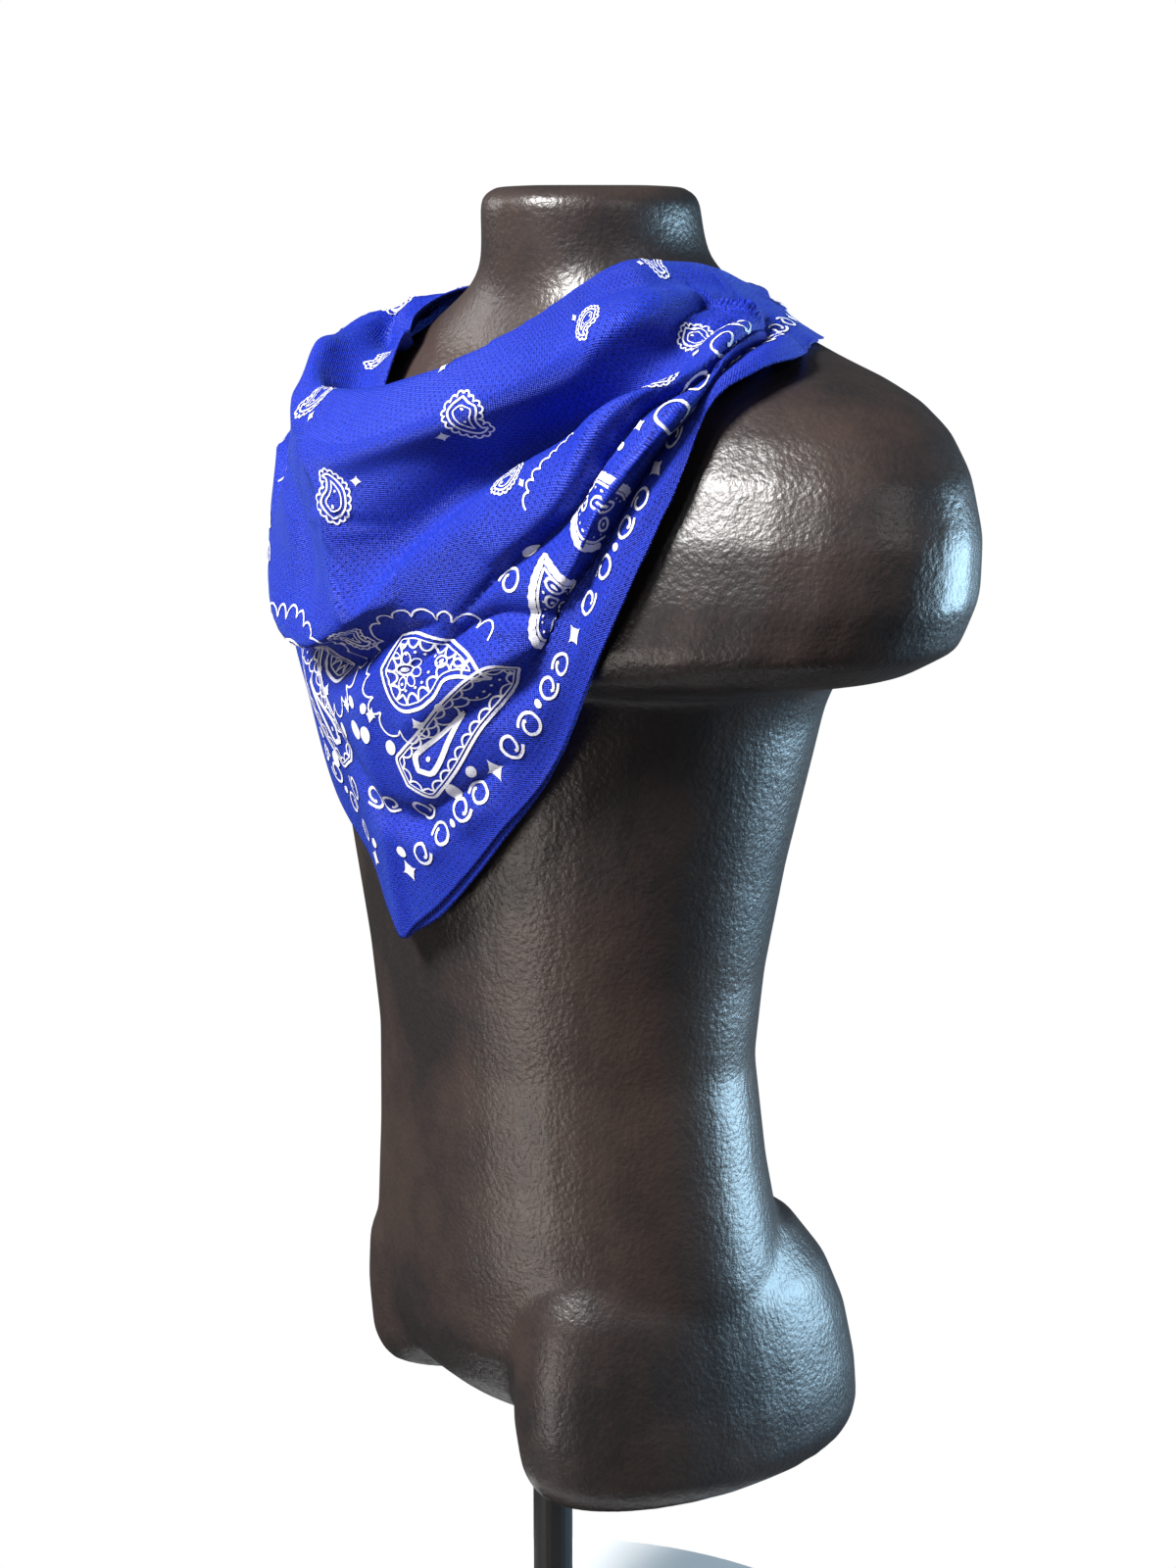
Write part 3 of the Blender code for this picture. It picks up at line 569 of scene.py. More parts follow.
bearings, downs = stops(COLUMN_STOPS), stops(ROW_STOPS)
plain = plain_drape(bearings, downs)
drape = plain + fold_moves(plain, outward_normals(plain), FOLDS)
pushed = evened_grid(hold_off(drape, FORM_CLEARANCE + FORM_SPARE) - drape, PUSH_ROUNDS)
drape = hold_off(drape + pushed, FORM_CLEARANCE)
drape_normals = outward_normals(drape)
print("drape:", drape.shape[0], "rows of", drape.shape[1])

# %% [markdown]
# ## The flat cut
# A print is made on flat cloth, so it has to be laid out flat and carried to the drape. The drape is
# unrolled here the way a pattern maker would flatten a bag: a coarse net of threads, each as long as it
# is on the drape, is pushed about on a table until the threads have their lengths again. The two hems are
# held straight, at right angles, with the point at the origin. Every place on the cloth then has flat
# coordinates in metres, kept as its UV map.

# %% Flatten the drape
NET_STEP = 4
NET_ROUNDS = 1500
NET_PUSH = 1.2
FIRST_SLANT = 0.7
CUT_ROUNDS = 30


def thread_lengths(grid, down, along):
    """The length of each thread of the net, measured through the fine points that it passes."""
    rows, columns = grid.shape[:2]
    last_row, last_column = rows - NET_STEP * abs(down), columns - NET_STEP * abs(along)
    start = NET_STEP if down < 0 else 0
    total = 0
    for k in range(NET_STEP):
        here, there = (grid[start + n * down :, n * along :] for n in (k, k + 1))
        here, there = (part[:last_row:NET_STEP, :last_column:NET_STEP] for part in (here, there))
        total = total + np.linalg.norm(there - here, axis=2)
    return total


def flatten(grid):
    """Flat coordinates (along the wearer's right hem, along the wearer's left hem) of every point."""
    rows, columns = (n // NET_STEP + 1 for n in (grid.shape[0] - 1, grid.shape[1] - 1))
    front = int(np.argmin(np.abs(bearings))) // NET_STEP
    hem = walked(grid[-1])[::NET_STEP]
    hem = hem - hem[front]
    net = np.zeros((rows, columns, 2))
    down_columns = [walked(column) for column in grid.swapaxes(0, 1)[::NET_STEP]]
    depth = np.stack([down[-1] - down[::NET_STEP] for down in down_columns], axis=1)
    net[..., 0] = np.where(hem < 0, -hem, 0) + depth * FIRST_SLANT
    net[..., 1] = np.where(hem > 0, hem, 0) + depth * FIRST_SLANT
    threads = [(0, 1), (1, 0), (1, 1), (-1, 1)]
    lengths = [thread_lengths(grid, *t) for t in threads]
    for _ in range(NET_ROUNDS):
        push, count = np.zeros_like(net), np.zeros((rows, columns, 1))
        for (down, along), length in zip(threads, lengths):
            first = (slice(1, None) if down < 0 else slice(0, rows - down), slice(0, columns - along))
            second = (slice(0, rows - 1) if down < 0 else slice(down, None), slice(along, None))
            gap = net[second] - net[first]
            now = np.linalg.norm(gap, axis=2, keepdims=True)
            fix = gap * (0.5 * (now - length[..., None]) / np.maximum(now, 1e-9))
            push[first] += fix
            push[second] -= fix
            count[first] += 1
            count[second] += 1
        net += NET_PUSH * push / count
        net[-1, : front + 1, 1] = 0
        net[-1, front:, 0] = 0
    wide = np.zeros((rows, grid.shape[1], 2))
    fine = np.zeros(grid.shape[:2] + (2,))
    for k in (0, 1):
        for i in range(rows):
            along = walked(grid[i * NET_STEP])
            wide[i, :, k] = np.interp(along, along[::NET_STEP], net[i, :, k])
        for j in range(grid.shape[1]):
            down = walked(grid[:, j])
            fine[:, j, k] = np.interp(down, down[::NET_STEP], wide[:, j, k])
    return fine


# A sharp pleat can fold the flat net back on itself by a few millimetres, so it is evened a little.
cut = evened_grid(flatten(drape), CUT_ROUNDS)
stretch = np.linalg.norm(np.diff(cut, axis=1), axis=2) / np.linalg.norm(np.diff(drape, axis=1), axis=2)
print("hems:", cut[-1, 0].round(3), cut[-1, -1].round(3))
print("stretch along:", np.percentile(stretch, (5, 50, 95)).round(2))

# %% [markdown]
# ## Two layers of knit
# Folded corner to corner, the square is worn as two triangles. The upper one shows, and the hem of the
# lower one slips out a little beside the point. Both are made from the same grid of points, the lower one
# moved in by the cloth's thickness, and each gets a second face and a rim so that it has the real
# thickness of the knit.

# %% Make the layers
CLOTH_THICKNESS = 0.0011
LAYER_GAP = 0.0005
UNDER_SPARE = 0.0003
UNDER_PEEK = 0.0070
UNDER_SHORT = 0.0008
PEEK_BEARING = 22.0
PEEK_SPREAD = 19.0
UNDER_FROM_DOWN = 0.74
HEM_ROWS = 3
UNDER_BEARINGS = (-72, 105)


def grid_quads(index):
    """The four corners of every cell of a grid of point numbers."""
    corners = [index[:-1, :-1], index[1:, :-1], index[1:, 1:], index[:-1, 1:]]
    return np.stack(corners, axis=-1).reshape(-1, 4)


def carry_cut(mesh, places):
    """Keeps each point's flat coordinates as the mesh's UV map."""
    layer = mesh.uv_layers.new(name="cut")
    corners = np.zeros(len(mesh.loops), np.int64)
    mesh.loops.foreach_get("vertex_index", corners)
    layer.data.foreach_set("uv", places[corners].ravel())


def shell_mesh(name, outer, inner, cut):
    """A thin closed shell between two grids, with the flat cut's coordinates as its UV map."""
    rows, columns = outer.shape[:2]
    index = np.arange(rows * columns).reshape(rows, columns)
    quads = grid_quads(index)
    rim = np.concatenate([index[0, :], index[1:, -1], index[-1, -2::-1], index[-2:0:-1, 0]])
    beyond = np.roll(rim, -1)
    far = rows * columns
    sides = np.stack([rim, beyond, beyond + far, rim + far], axis=-1)
    faces = np.concatenate([quads, quads[:, ::-1] + far, sides])
    points = np.concatenate([outer.reshape(-1, 3), inner.reshape(-1, 3)])
    mesh = bpy.data.meshes.new(name)
    mesh.from_pydata(points.tolist(), [], faces.tolist())
    carry_cut(mesh, np.concatenate([cut.reshape(-1, 2)] * 2))
    mesh.shade_smooth()
    return mesh


under_face = drape - drape_normals * CLOTH_THICKNESS
top_layer = link("bandana_top", shell_mesh("bandana_top", drape, under_face, cut))

band_rows = downs >= UNDER_FROM_DOWN
band_columns = (bearings >= UNDER_BEARINGS[0]) & (bearings <= UNDER_BEARINGS[1])
band_normals = drape_normals[band_rows][:, band_columns]
under = drape[band_rows][:, band_columns] - band_normals * (CLOTH_THICKNESS + LAYER_GAP)
share_down = (downs[band_rows] - UNDER_FROM_DOWN) / (1 - UNDER_FROM_DOWN)
hemward = unit(under[-1] - under[-1 - HEM_ROWS])
from_peek = (bearings[band_columns] - PEEK_BEARING) / PEEK_SPREAD
peek = UNDER_PEEK * np.exp(-(from_peek**4)) - UNDER_SHORT
under = under + (share_down**2)[:, None, None] * hemward * peek[:, None]
under = hold_off(under, FORM_CLEARANCE - CLOTH_THICKNESS - LAYER_GAP - UNDER_SPARE)
under_face = under - band_normals * CLOTH_THICKNESS
under_cut = cut[band_rows][:, band_columns]
under_layer = link("bandana_under", shell_mesh("bandana_under", under, under_face, under_cut))
for layer in (top_layer, under_layer):
    print(layer.name, 2 * len(layer.data.polygons), "triangles")

# %% [markdown]
# ## Knot and tails
# Behind the neck the two folded ends are crossed and tied. One end makes a turn round the other, and the
# corners of the cloth hang below as short tails.

# %% Knot
KNOT_CENTRE = Vector((0.0, NECK_AXIS_Y + 0.0895, NECK_BASE_HEIGHT - 0.0250))
KNOT_HALF_WIDTH = 0.0206
KNOT_DEPTH = 0.72
KNOT_SLANT = 0.28
KNOT_RINGS = 120
KNOT_SIDES = 96
WRAP_HALF_WIDTH = 0.0098
WRAP_EDGE = 0.0006
WRAP_CREASE = 0.0011
# across and half_height in millimetres, for the half on the wearer's left, which the other half mirrors
KnotRing = namedtuple("KnotRing", "across half_height")
KNOT_HALF = [
    KnotRing(0, 15),
    KnotRing(5, 14.6),
    KnotRing(9, 13),
    KnotRing(10.5, 10.4),
    KnotRing(15.5, 10),
    KnotRing(19.8, 7),
    KnotRing(20.6, 3.4),
]
KNOT = [KnotRing(-ring.across, ring.half_height) for ring in KNOT_HALF[:0:-1]] + KNOT_HALF


def tube_mesh(name, rings):
    """A closed mesh through a (rings, sides, 3) array, capped at both ends."""
    count, sides = rings.shape[:2]
    index = np.arange(count * sides).reshape(count, sides)
    turned = np.roll(index, -1, axis=1)
    faces = np.stack([index[:-1], turned[:-1], turned[1:], index[1:]], axis=-1).reshape(-1, 4).tolist()
    faces += [index[0, ::-1].tolist(), index[-1].tolist()]
    mesh = bpy.data.meshes.new(name)
    mesh.from_pydata(rings.reshape(-1, 3).tolist(), [], faces)
    work = bmesh.new()
    work.from_mesh(mesh)
    bmesh.ops.recalc_face_normals(work, faces=work.faces)
    work.to_mesh(mesh)
    work.free()
    mesh.shade_smooth()
    return mesh


across = np.linspace(-KNOT_HALF_WIDTH, KNOT_HALF_WIDTH, KNOT_RINGS)
half_height = smooth_curve(*np.array(KNOT).T / 1000, across)[:, None]
turns = np.arange(KNOT_SIDES)[None, :] * TURN / KNOT_SIDES
in_wrap = 1 / (1 + np.exp((np.abs(across)[:, None] - WRAP_HALF_WIDTH) / WRAP_EDGE))
# gathers at the two ends and creases on the turn round them, as shares of the height
gathers = 0.075 * np.cos(9 * turns + 60 * across[:, None]) + 0.04 * np.cos(14 * turns + 1.0)
wraps = 0.035 * np.cos(across[:, None] / WRAP_CREASE + 1.2 * np.sin(turns + 0.6))
wraps = wraps * (1 + 0.4 * np.sin(2 * turns))
half_height = half_height * (1 + gathers * (1 - in_wrap) + wraps * in_wrap)
lean = KNOT_SLANT * np.cos(across / KNOT_HALF_WIDTH * math.pi / 2)[:, None]
height = half_height * np.cos(turns)
depth = KNOT_DEPTH * half_height * np.sin(turns)
knot_rings = np.stack([across[:, None] + lean * height, depth, height], axis=-1)
knot = link("knot_wrap", tube_mesh("knot_wrap", knot_rings + np.array(KNOT_CENTRE)))
print("knot:", len(knot.data.polygons), "faces")

# %% Tails
TAIL_THICKNESS = 0.0026
TAIL_PLEAT = 0.0021
TAIL_CRIMP = 0.0006
CRIMP_RADIANS = 17
CRIMP_AT_CORNER = 0.35
TAIL_EDGE_THINNING = 0.8
TAIL_RINGS = 70
TAIL_PLACES = 36
# all in millimetres, from the neck's axis and its base
TailRing = namedtuple("TailRing", "across back height half_width")
TAILS = {
    "left": [
        TailRing(6, 93.5, -40.8, 5),
        TailRing(11, 97.5, -47, 8.8),
        TailRing(17, 101.5, -55.5, 13),
        TailRing(23.5, 105, -65.5, 17.2),
        TailRing(29.5, 107.8, -76, 19),
        TailRing(34.5, 109.8, -85.5, 14),
        TailRing(38.5, 111.2, -93.5, 7.5),
        TailRing(41.5, 112.2, -99.5, 1.5),
    ],
    "right": [
        TailRing(8, 93.5, -41, 5),
        TailRing(11, 97.5, -48, 8.5),
        TailRing(14.5, 102, -58.5, 12.5),
        TailRing(18, 106, -71, 16),
        TailRing(21, 109, -83, 17.2),
        TailRing(23.5, 111, -93.5, 12.5),
        TailRing(25.5, 112.2, -102, 6.5),
        TailRing(27, 113, -108, 1.5),
    ],
}
TAIL_SIDES = {"left": 1, "right": -1}


def resampled(values, count):
    """This many places along a smooth curve through all the values."""
    return smooth_curve(np.arange(len(values)), values, np.linspace(0, len(values) - 1, count))


def tail_mesh(name, table, side):
    """One end of the cloth below the knot, pleated where it leaves it and flat at its corner."""
    table = resampled(np.array(table) / 1000, TAIL_RINGS)
    heights = NECK_BASE_HEIGHT + table[:, 2]
    middles = np.column_stack([side * table[:, 0], NECK_AXIS_Y + table[:, 1], heights])
    run = unit(np.gradient(middles, axis=0))
    across = unit(np.cross(run, (0, 1, 0)))
    outward = np.cross(across, run)
    outward *= np.sign(outward[:, 1:2])
    places = np.linspace(-1, 1, TAIL_PLACES)
    half_width = table[:, 3:4]
    fade = half_width / half_width.max()
    near_knot = np.linspace(1, CRIMP_AT_CORNER, TAIL_RINGS)[:, None]
    pleat = TAIL_PLEAT * np.cos(places * TURN) * fade
    pleat = pleat + TAIL_CRIMP * near_knot * np.cos(places * CRIMP_RADIANS + side) * fade
    flat = middles[:, None] + across[:, None] * (places * half_width)[..., None]
    flat = flat + outward[:, None] * pleat[..., None]
    half = TAIL_THICKNESS / 2 * np.sqrt(1 - TAIL_EDGE_THINNING * places**2)
    half = outward[:, None] * half[None, :, None]
    return tube_mesh(name, np.concatenate([flat + half, (flat - half)[:, ::-1]], axis=1))


tails = {}
for side, sign in TAIL_SIDES.items():
    name = f"tail_{side}_cloth"
    tails[side] = link(name, tail_mesh(name, TAILS[side], sign))
    print(name, len(tails[side].data.polygons), "faces")

# %% [markdown]
# ## The knit
# A printed neck scarf is a fine weft knit of filament polyester: its filaments give a soft satin sheen,
# its courses run as faint ribs, and the eyelets of the mesh show as tiny pin dots of painted shade.
# Modelling every stitch would take hundreds of millions of loops, so the stitches are a procedural height
# on the flat cut's coordinates, and so follow the cloth round every fold. The dye is a deep blue that a
# little fuzz and handling make uneven, and painted shade darkens it in the troughs between the stitches.

# %% Knit
COURSE_PITCH = 0.00105
WALE_PITCH = 0.00135
EYELET_PITCH = 0.0032
EYELET_EDGE = (1.36, 1.78)
HALF_ROOT = 0.7071
DYE = (0.0095, 0.0295, 0.50, 1)
DYE_WORN = (0.0170, 0.0520, 0.62, 1)
# a deep blue used for random darker fuzz and for painted shade in the stitch troughs and eyelets
FUZZ_TONE_AND_PAINTED_SHADE = (0.0012, 0.004, 0.16, 1)


def knit_pattern(finish):
    """Height of the stitches and a mask of the eyelets, on the flat cut's coordinates."""
    place = finish.node("ShaderNodeUVMap", {"uv_map": "cut"})
    across = finish.node("ShaderNodeSeparateXYZ", None, {0: place})
    along = Value(finish, across.socket.node.outputs[1])
    diagonal = (across + along) * HALF_ROOT
    upright = (along - across) * HALF_ROOT
    wander = finish.noise(place, 55.0)
    courses = (diagonal * (TURN / COURSE_PITCH) + wander * 4).sine()
    wales = (upright * (TURN / WALE_PITCH) + wander * 3).sine()
    rows = (across * (TURN / EYELET_PITCH)).cosine()
    lines = (along * (TURN / EYELET_PITCH)).cosine()
    hole = (rows + lines).rising(*EYELET_EDGE)
    return place, courses * 0.5 + wales * 0.4, hole


def knit_finish():
    knit = Finish(
        "bandana_knit",
        Specular_IOR_Level=0.30,
        Specular_Tint=(0.80, 0.90, 1.0, 1),
        Sheen_Weight=0.12,
        Sheen_Roughness=0.35,
        Sheen_Tint=(0.25, 0.50, 1.0, 1),
    )
    place, stitches, hole = knit_pattern(knit)
    blotch = knit.noise(place, 38.0, 4.0, 0.6)
    fuzz = knit.noise(place, 620.0, 3.0, 0.7)
    knit_colour = knit.mix(blotch * 0.9, DYE, DYE_WORN)
    # painted shade in the troughs between the stitches, together with random darker fuzz
    knit_colour = knit.mix((0.5 - stitches * 0.5) * 0.45 + (fuzz - 0.42) * 2.4, knit_colour, FUZZ_TONE_AND_PAINTED_SHADE)
    # painted shade in the eyelets of the mesh
    knit_colour = knit.mix(hole, knit_colour, FUZZ_TONE_AND_PAINTED_SHADE)
    slack = knit.noise(place, 30.0, 3.0)
    soft = knit.bump(slack, distance=0.0012, strength=0.35)
    knit.feed(
        Base_Color=knit_colour,
        Roughness=0.42 + fuzz * 0.16 + hole * 0.2,
        Normal=knit.bump(stitches - hole * 1.5, distance=0.00022, strength=0.95, under=soft),
    )
    return knit


knit = knit_finish()
knitted = (top_layer, under_layer, knot, *tails.values())
for thing in knitted:
    thing.data.materials.append(knit.material)
print("knit on", len(knitted), "pieces")

# %% [markdown]
# ## The print
# The square is printed with white paisleys, loops, stars and dots: a row of small motifs inside each hem,
# large paisleys toward the point and small toothed ones over the field. It could be an image, or a
# shader, but drawn shapes stay sharp at any distance and are easy to place. Each motif is drawn here with
# a few lines of its own on the flat cut, as a strip or a patch of ink, and then carried to the drape
# through the unrolled net.

# %% Ink shapes
LINE = 0.0011
FINE = 0.0008
SCALLOP_POWER = 0.55
SCALLOP_POINTS = 12
INK_STEP = 0.0013
FEWEST_STEPS = 6
INSET_KEPT = 0.93
OVAL_POINTS = 28
DROP_POINTS = 80
Ink = namedtuple("Ink", "path width closed filled")


def read_along(path, along, at):
    """Places at the distances in at, on a line whose points lie at the distances in along."""
    return np.column_stack([np.interp(at, along, path[:, k]) for k in (0, 1)])


def evened(path, closed=False):
    """The same line with its points at even steps."""
    path = np.asarray(path, float)
    path = np.concatenate([path, path[:1]]) if closed else path
    along = walked(path)
    count = max(int(along[-1] / INK_STEP), FEWEST_STEPS)
    even = read_along(path, along, np.linspace(0, along[-1], count + 1))
    return even[:-1] if closed else even


def leftward(path, closed):
    """Unit vectors to the left of a line at each of its points."""
    ahead = np.roll(path, -1, axis=0) - np.roll(path, 1, axis=0) if closed else np.gradient(path, axis=0)
    ahead = unit(ahead)
    return np.column_stack([-ahead[:, 1], ahead[:, 0]])


def anticlockwise(outline):
    """The outline, turned round if it runs the other way."""
    x, y = outline.T
    return outline if (x * np.roll(y, -1) - y * np.roll(x, -1)).sum() > 0 else outline[::-1]


def curve(points, count=60):
    """A smooth line through a few places, in millimetres."""
    return resampled(np.array(points, float) / 1000, count)


def spin(turn):
    """The matrix that turns rows of flat places by so many degrees."""
    c, s = math.cos(math.radians(turn)), math.sin(math.radians(turn))
    return np.array([[c, s], [-s, c]])


def oval(x, y, half_length, half_width, turn=0):
    """An oval outline, in millimetres and degrees."""
    angle = np.linspace(0, TURN, OVAL_POINTS, endpoint=False)
    outline = np.column_stack([half_length * np.cos(angle), half_width * np.sin(angle)])
    return (outline @ spin(turn) + (x, y)) / 1000


def drop(spine, widths):
    """The outline of a paisley: a spine from its round head to its tip, and half widths along it."""
    middle = curve(spine, DROP_POINTS)
    at, share = np.linspace(0, 1, len(widths)), np.linspace(0, 1, DROP_POINTS)
    half = smooth_curve(at, np.array(widths, float) / 1000, share)
    side = leftward(middle, False) * np.maximum(half, 0)[:, None]
    return anticlockwise(evened(np.concatenate([middle + side, (middle - side)[::-1]]), True))


def inset(outline, depth):
    """An outline depth millimetres inside another, or outside it if depth is below 0.

    In a tight bend some points end up nearer than that, and they are left out.
    """
    depth = depth / 1000
    moved = outline + leftward(outline, True) * depth
    gap = np.linalg.norm(moved[:, None] - outline[None], axis=2).min(axis=1)
    return moved[gap > INSET_KEPT * abs(depth)]


def scalloped(path, count, depth, closed=False, uneven=0.0):
    """A line of arcs along another line, bulging to its left by depth millimetres.

    uneven makes some of the arcs wider and higher than others.
    """
    path = evened(path, closed)
    path = np.concatenate([path, path[:1]]) if closed else path
    along = walked(path)
    steps = 1 + uneven * np.sin(np.arange(count) * 2.4)
    knots = np.concatenate([[0], np.cumsum(steps)]) / steps.sum() * along[-1]
    arcs = [np.linspace(a, b, SCALLOP_POINTS)[:-1] for a, b in zip(knots[:-1], knots[1:])]
    at = np.concatenate(arcs + [knots[-1:]])
    rise = np.abs(np.sin(np.interp(at, knots, np.arange(count + 1)) * math.pi)) ** SCALLOP_POWER
    rise = rise * (1 + uneven * np.cos(at / along[-1] * 9)) * depth / 1000
    middle = read_along(path, along, at)
    return middle + leftward(middle, False) * rise[:, None]


def line(path, width=LINE, closed=False):
    return [Ink(path, width, closed, False)]


def patch(outline):
    return [Ink(outline, 0, True, True)]


def dots(path, count, size, closed=False):
    """A row of filled dots along a line."""
    path = evened(path, closed)
    steps = np.linspace(0, len(path) - 1, count + (1 if closed else 0)).astype(int)[:count]
    return [ink for x, y in path[steps] * 1000 for ink in patch(oval(x, y, size, size * 0.85))]


print("ink shapes ready")

# %% Motifs
STAR_POINTS = 48


def star():
    """A four-pointed star, a little longer one way than the other."""
    angle = np.linspace(0, TURN, STAR_POINTS, endpoint=False)
    arms = np.where(np.abs(np.cos(angle)) > HALF_ROOT, 6.4, 5.4) / 1000
    return patch(np.column_stack([np.cos(angle) ** 3, np.sin(angle) ** 3]) * arms[:, None])


def loop():
    """A hooked loop, like a small open teardrop."""
    round_way = [(-3.2, 6.8), (-4.9, 3.4), (-4.8, -1.4), (-1.4, -5.4), (3.4, -4.4), (5.4, 0.2)]
    return line(curve(round_way + [(3.4, 4.6), (-0.4, 4.6), (-2.6, 2.0), (-1.9, 0.4)]), 0.00165)


def toothed_paisley():
    """The small paisley of the field, with teeth all round and a star by its tip."""
    outline = drop([(0, -9), (-0.5, -3), (0.5, 4), (5, 9.5), (9.5, 9)], [0, 6.2, 6.4, 3.6, 1.6, 0])
    inner = inset(outline, 2.6)
    shapes = line(outline, 0.0012, True) + line(inner, FINE, True)
    shapes += line(scalloped(inset(outline, -1.3)[::-1], 19, 1.9, True), 0.0011)
    shapes += dots(inset(outline, 4.6), 3, 0.7)
    return shapes + [ink._replace(path=ink.path * 0.55 + (-0.012, 0.010)) for ink in star()]


def crested_paisley():
    """The large paisley: scallops and dots inside it, a flower in its head and a wavy halo outside."""
    spine = [(-17, -4), (-8, -1), (4, 0), (15, 2), (24, 9), (30, 19)]
    outline = drop(spine, [0, 14.5, 16.5, 14.5, 9.5, 5.5, 2.4, 0])
    border = inset(outline, 2.5)
    shapes = line(outline, 0.0019, True) + line(border, FINE, True)
    shapes += line(scalloped(border, 17, 4.2, True), 0.0013)
    shapes += dots(inset(outline, 8.4), 13, 0.75, True)
    for turn in range(-100, 150, 42):
        x, y = -6 + 6.4 * math.cos(math.radians(turn)), -1.2 + 5.6 * math.sin(math.radians(turn))
        shapes += line(oval(x, y, 2.7, 1.9, turn), FINE, True)
    shapes += line(oval(-5.5, -1.4, 3.8, 2.5, 10), 0.0012, True) + patch(oval(-5.6, -1.4, 1.9, 1.1, 10))
    shapes += line(oval(13, 1.6, 3.0, 2.4, 20), 0.0012, True) + patch(oval(13, 1.6, 1.2, 1.0))
    halo = evened(inset(outline, -9.0), True)
    from_tip = int(np.argmax(halo[:, 1]))
    halo = np.roll(halo, -from_tip, axis=0)[: int(len(halo) * 0.84)]
    return shapes + line(scalloped(halo[::-1], 17, 4.6, False, 0.28), 0.0011)


def long_paisley():
    """A long paisley band: a double edge, scallops inside it and a thick teardrop in its head."""
    spine = [(-46, -1), (-36, 0), (-16, 1), (10, 0), (34, 2), (50, 7)]
    outline = drop(spine, [0, 12.5, 14.0, 13.8, 13.2, 12.6, 11.6, 8.4, 0])
    border = inset(outline, 2.0)
    shapes = line(outline, 0.0016, True) + line(border, FINE, True)
    shapes += line(scalloped(border, 25, 3.3, True), 0.0011)
    teardrop = drop([(-34, -1), (-24, 0), (-8, 0.5), (16, 0)], [0, 6.4, 7.0, 5.8, 3.6, 1.6, 0])
    shapes += line(inset(teardrop, 0.8), 0.0032, True)
    return shapes + dots(curve([(21, 0.5), (30, 2), (42, 5)]), 5, 0.9) + patch(oval(-24, 0, 1.6, 1.3))


def wide_leaf():
    """A broad leaf with a thick uneven edge, a thin inner one, dots and open seeds."""
    outline = drop([(-31, -2), (-14, 0), (8, 1), (31, 3)], [0, 15.5, 19.5, 19.0, 15.0, 8.5, 0])
    shapes = line(scalloped(inset(outline, 2.0), 30, 0.7, True), 0.0042)
    shapes += line(inset(outline, 5.9), 0.0014, True) + dots(inset(outline, 8.8), 19, 0.8, True)
    for x, y, turn in ((-13, -3, 30), (-6, 5, -40), (4, -2, 20), (12, 4, -30)):
        shapes += line(oval(x, y, 4.4, 2.9, turn), 0.0014, True) + patch(oval(x, y, 1.6, 1.0, turn))
    return shapes


def wave():
    """A short bent row of uneven scallops."""
    path = curve([(-26, -3), (-14, 1), (0, 2.5), (14, 1), (26, -4)])
    return line(scalloped(path, 7, 3.4, False, 0.2), 0.0011)


print("motifs ready")

# %% Layout
Place = namedtuple("Place", "motif a b turn size")
HEM_ROW = 22.0
HEM_PERIOD = 94.0
HEM_REPEATS = 8
HEM_START = 46
HEM_END = 670
HEM_DRIFT = 1.2
HEM_TWIST = 9
HEM_SIZE_CHANGE = 0.05
# steps along the hem in millimetres, and how far round each motif is turned
HEM_STEPS = (
    (0, "star", 14),
    (18, "loop", -8),
    (38, "loop", 171),
    (50, "dot", 0),
    (61, "loop", 4),
    (77, "loop", 186),
)
# the broad leaves show only between these distances from the hem, in metres, and pleats hide the rest
LEAF_BAND = (0.041, 0.073)
SHORTEST_RUN = 4
# (a, b, turn, size): a is the distance from the near hem and b along it from the point, in millimetres
SIDE_PLACES = {
    "crested_paisley": [(92, 156, 114, 1.38)],
    "long_paisley": [(52, 144, 90, 1.08)],
    "wide_leaf": [(49, 239, 37, 1.0), (60, 294, 9, 1.0)],
    "wave": [(95, 297, 279, 0.95)],
    "star": [(68, 134, 20, 0.85), (94, 110, 65, 0.8), (60, 340, 40, 0.8)],
    "oval": [
        (31, 111, 30, 1.15), (30, 130, 80, 0.8), (73, 105, 60, 1.0), (97, 91, 40, 1.1),
        (109, 101, 20, 0.75), (65, 152, 70, 0.7), (62, 326, 10, 0.7), (82, 253, 120, 1.25),
        (33, 51, 0, 0.8),
    ],
    "loop": [
        (39, 84, -20, 1.15), (58, 68, 60, 1.0), (80, 234, 200, 1.15), (47, 352, 15, 1.5),
        (50, 378, 190, 1.4), (48, 404, 10, 1.45), (50, 430, 200, 1.4),
    ],
    "toothed_paisley": [
        (178, 296, 128, 1.2), (118, 276, 20, 0.9), (74, 424, 110, 1.15), (78, 372, 280, 1.0),
        (140, 392, 200, 1.0), (236, 300, 60, 1.1), (120, 470, 150, 1.0),
    ],
}
MIDDLE_PLACES = {
    "toothed_paisley": [(200, 200, -40, 1.1), (300, 300, 140, 1.1), (142, 142, 130, 0.9)],
}
MOTIFS = {
    "star": star(),
    "loop": loop(),
    "dot": patch(oval(0, 0, 2.3, 2.0)),
    "oval": patch(oval(0, 0, 4.6, 3.5)),
    "wave": wave(),
    "toothed_paisley": toothed_paisley(),
    "crested_paisley": crested_paisley(),
    "long_paisley": long_paisley(),
    "wide_leaf": wide_leaf(),
}


def listed(places):
    """One Place for each spot in a table of motifs and their spots."""
    return [Place(motif, *spot) for motif, spots in places.items() for spot in spots]


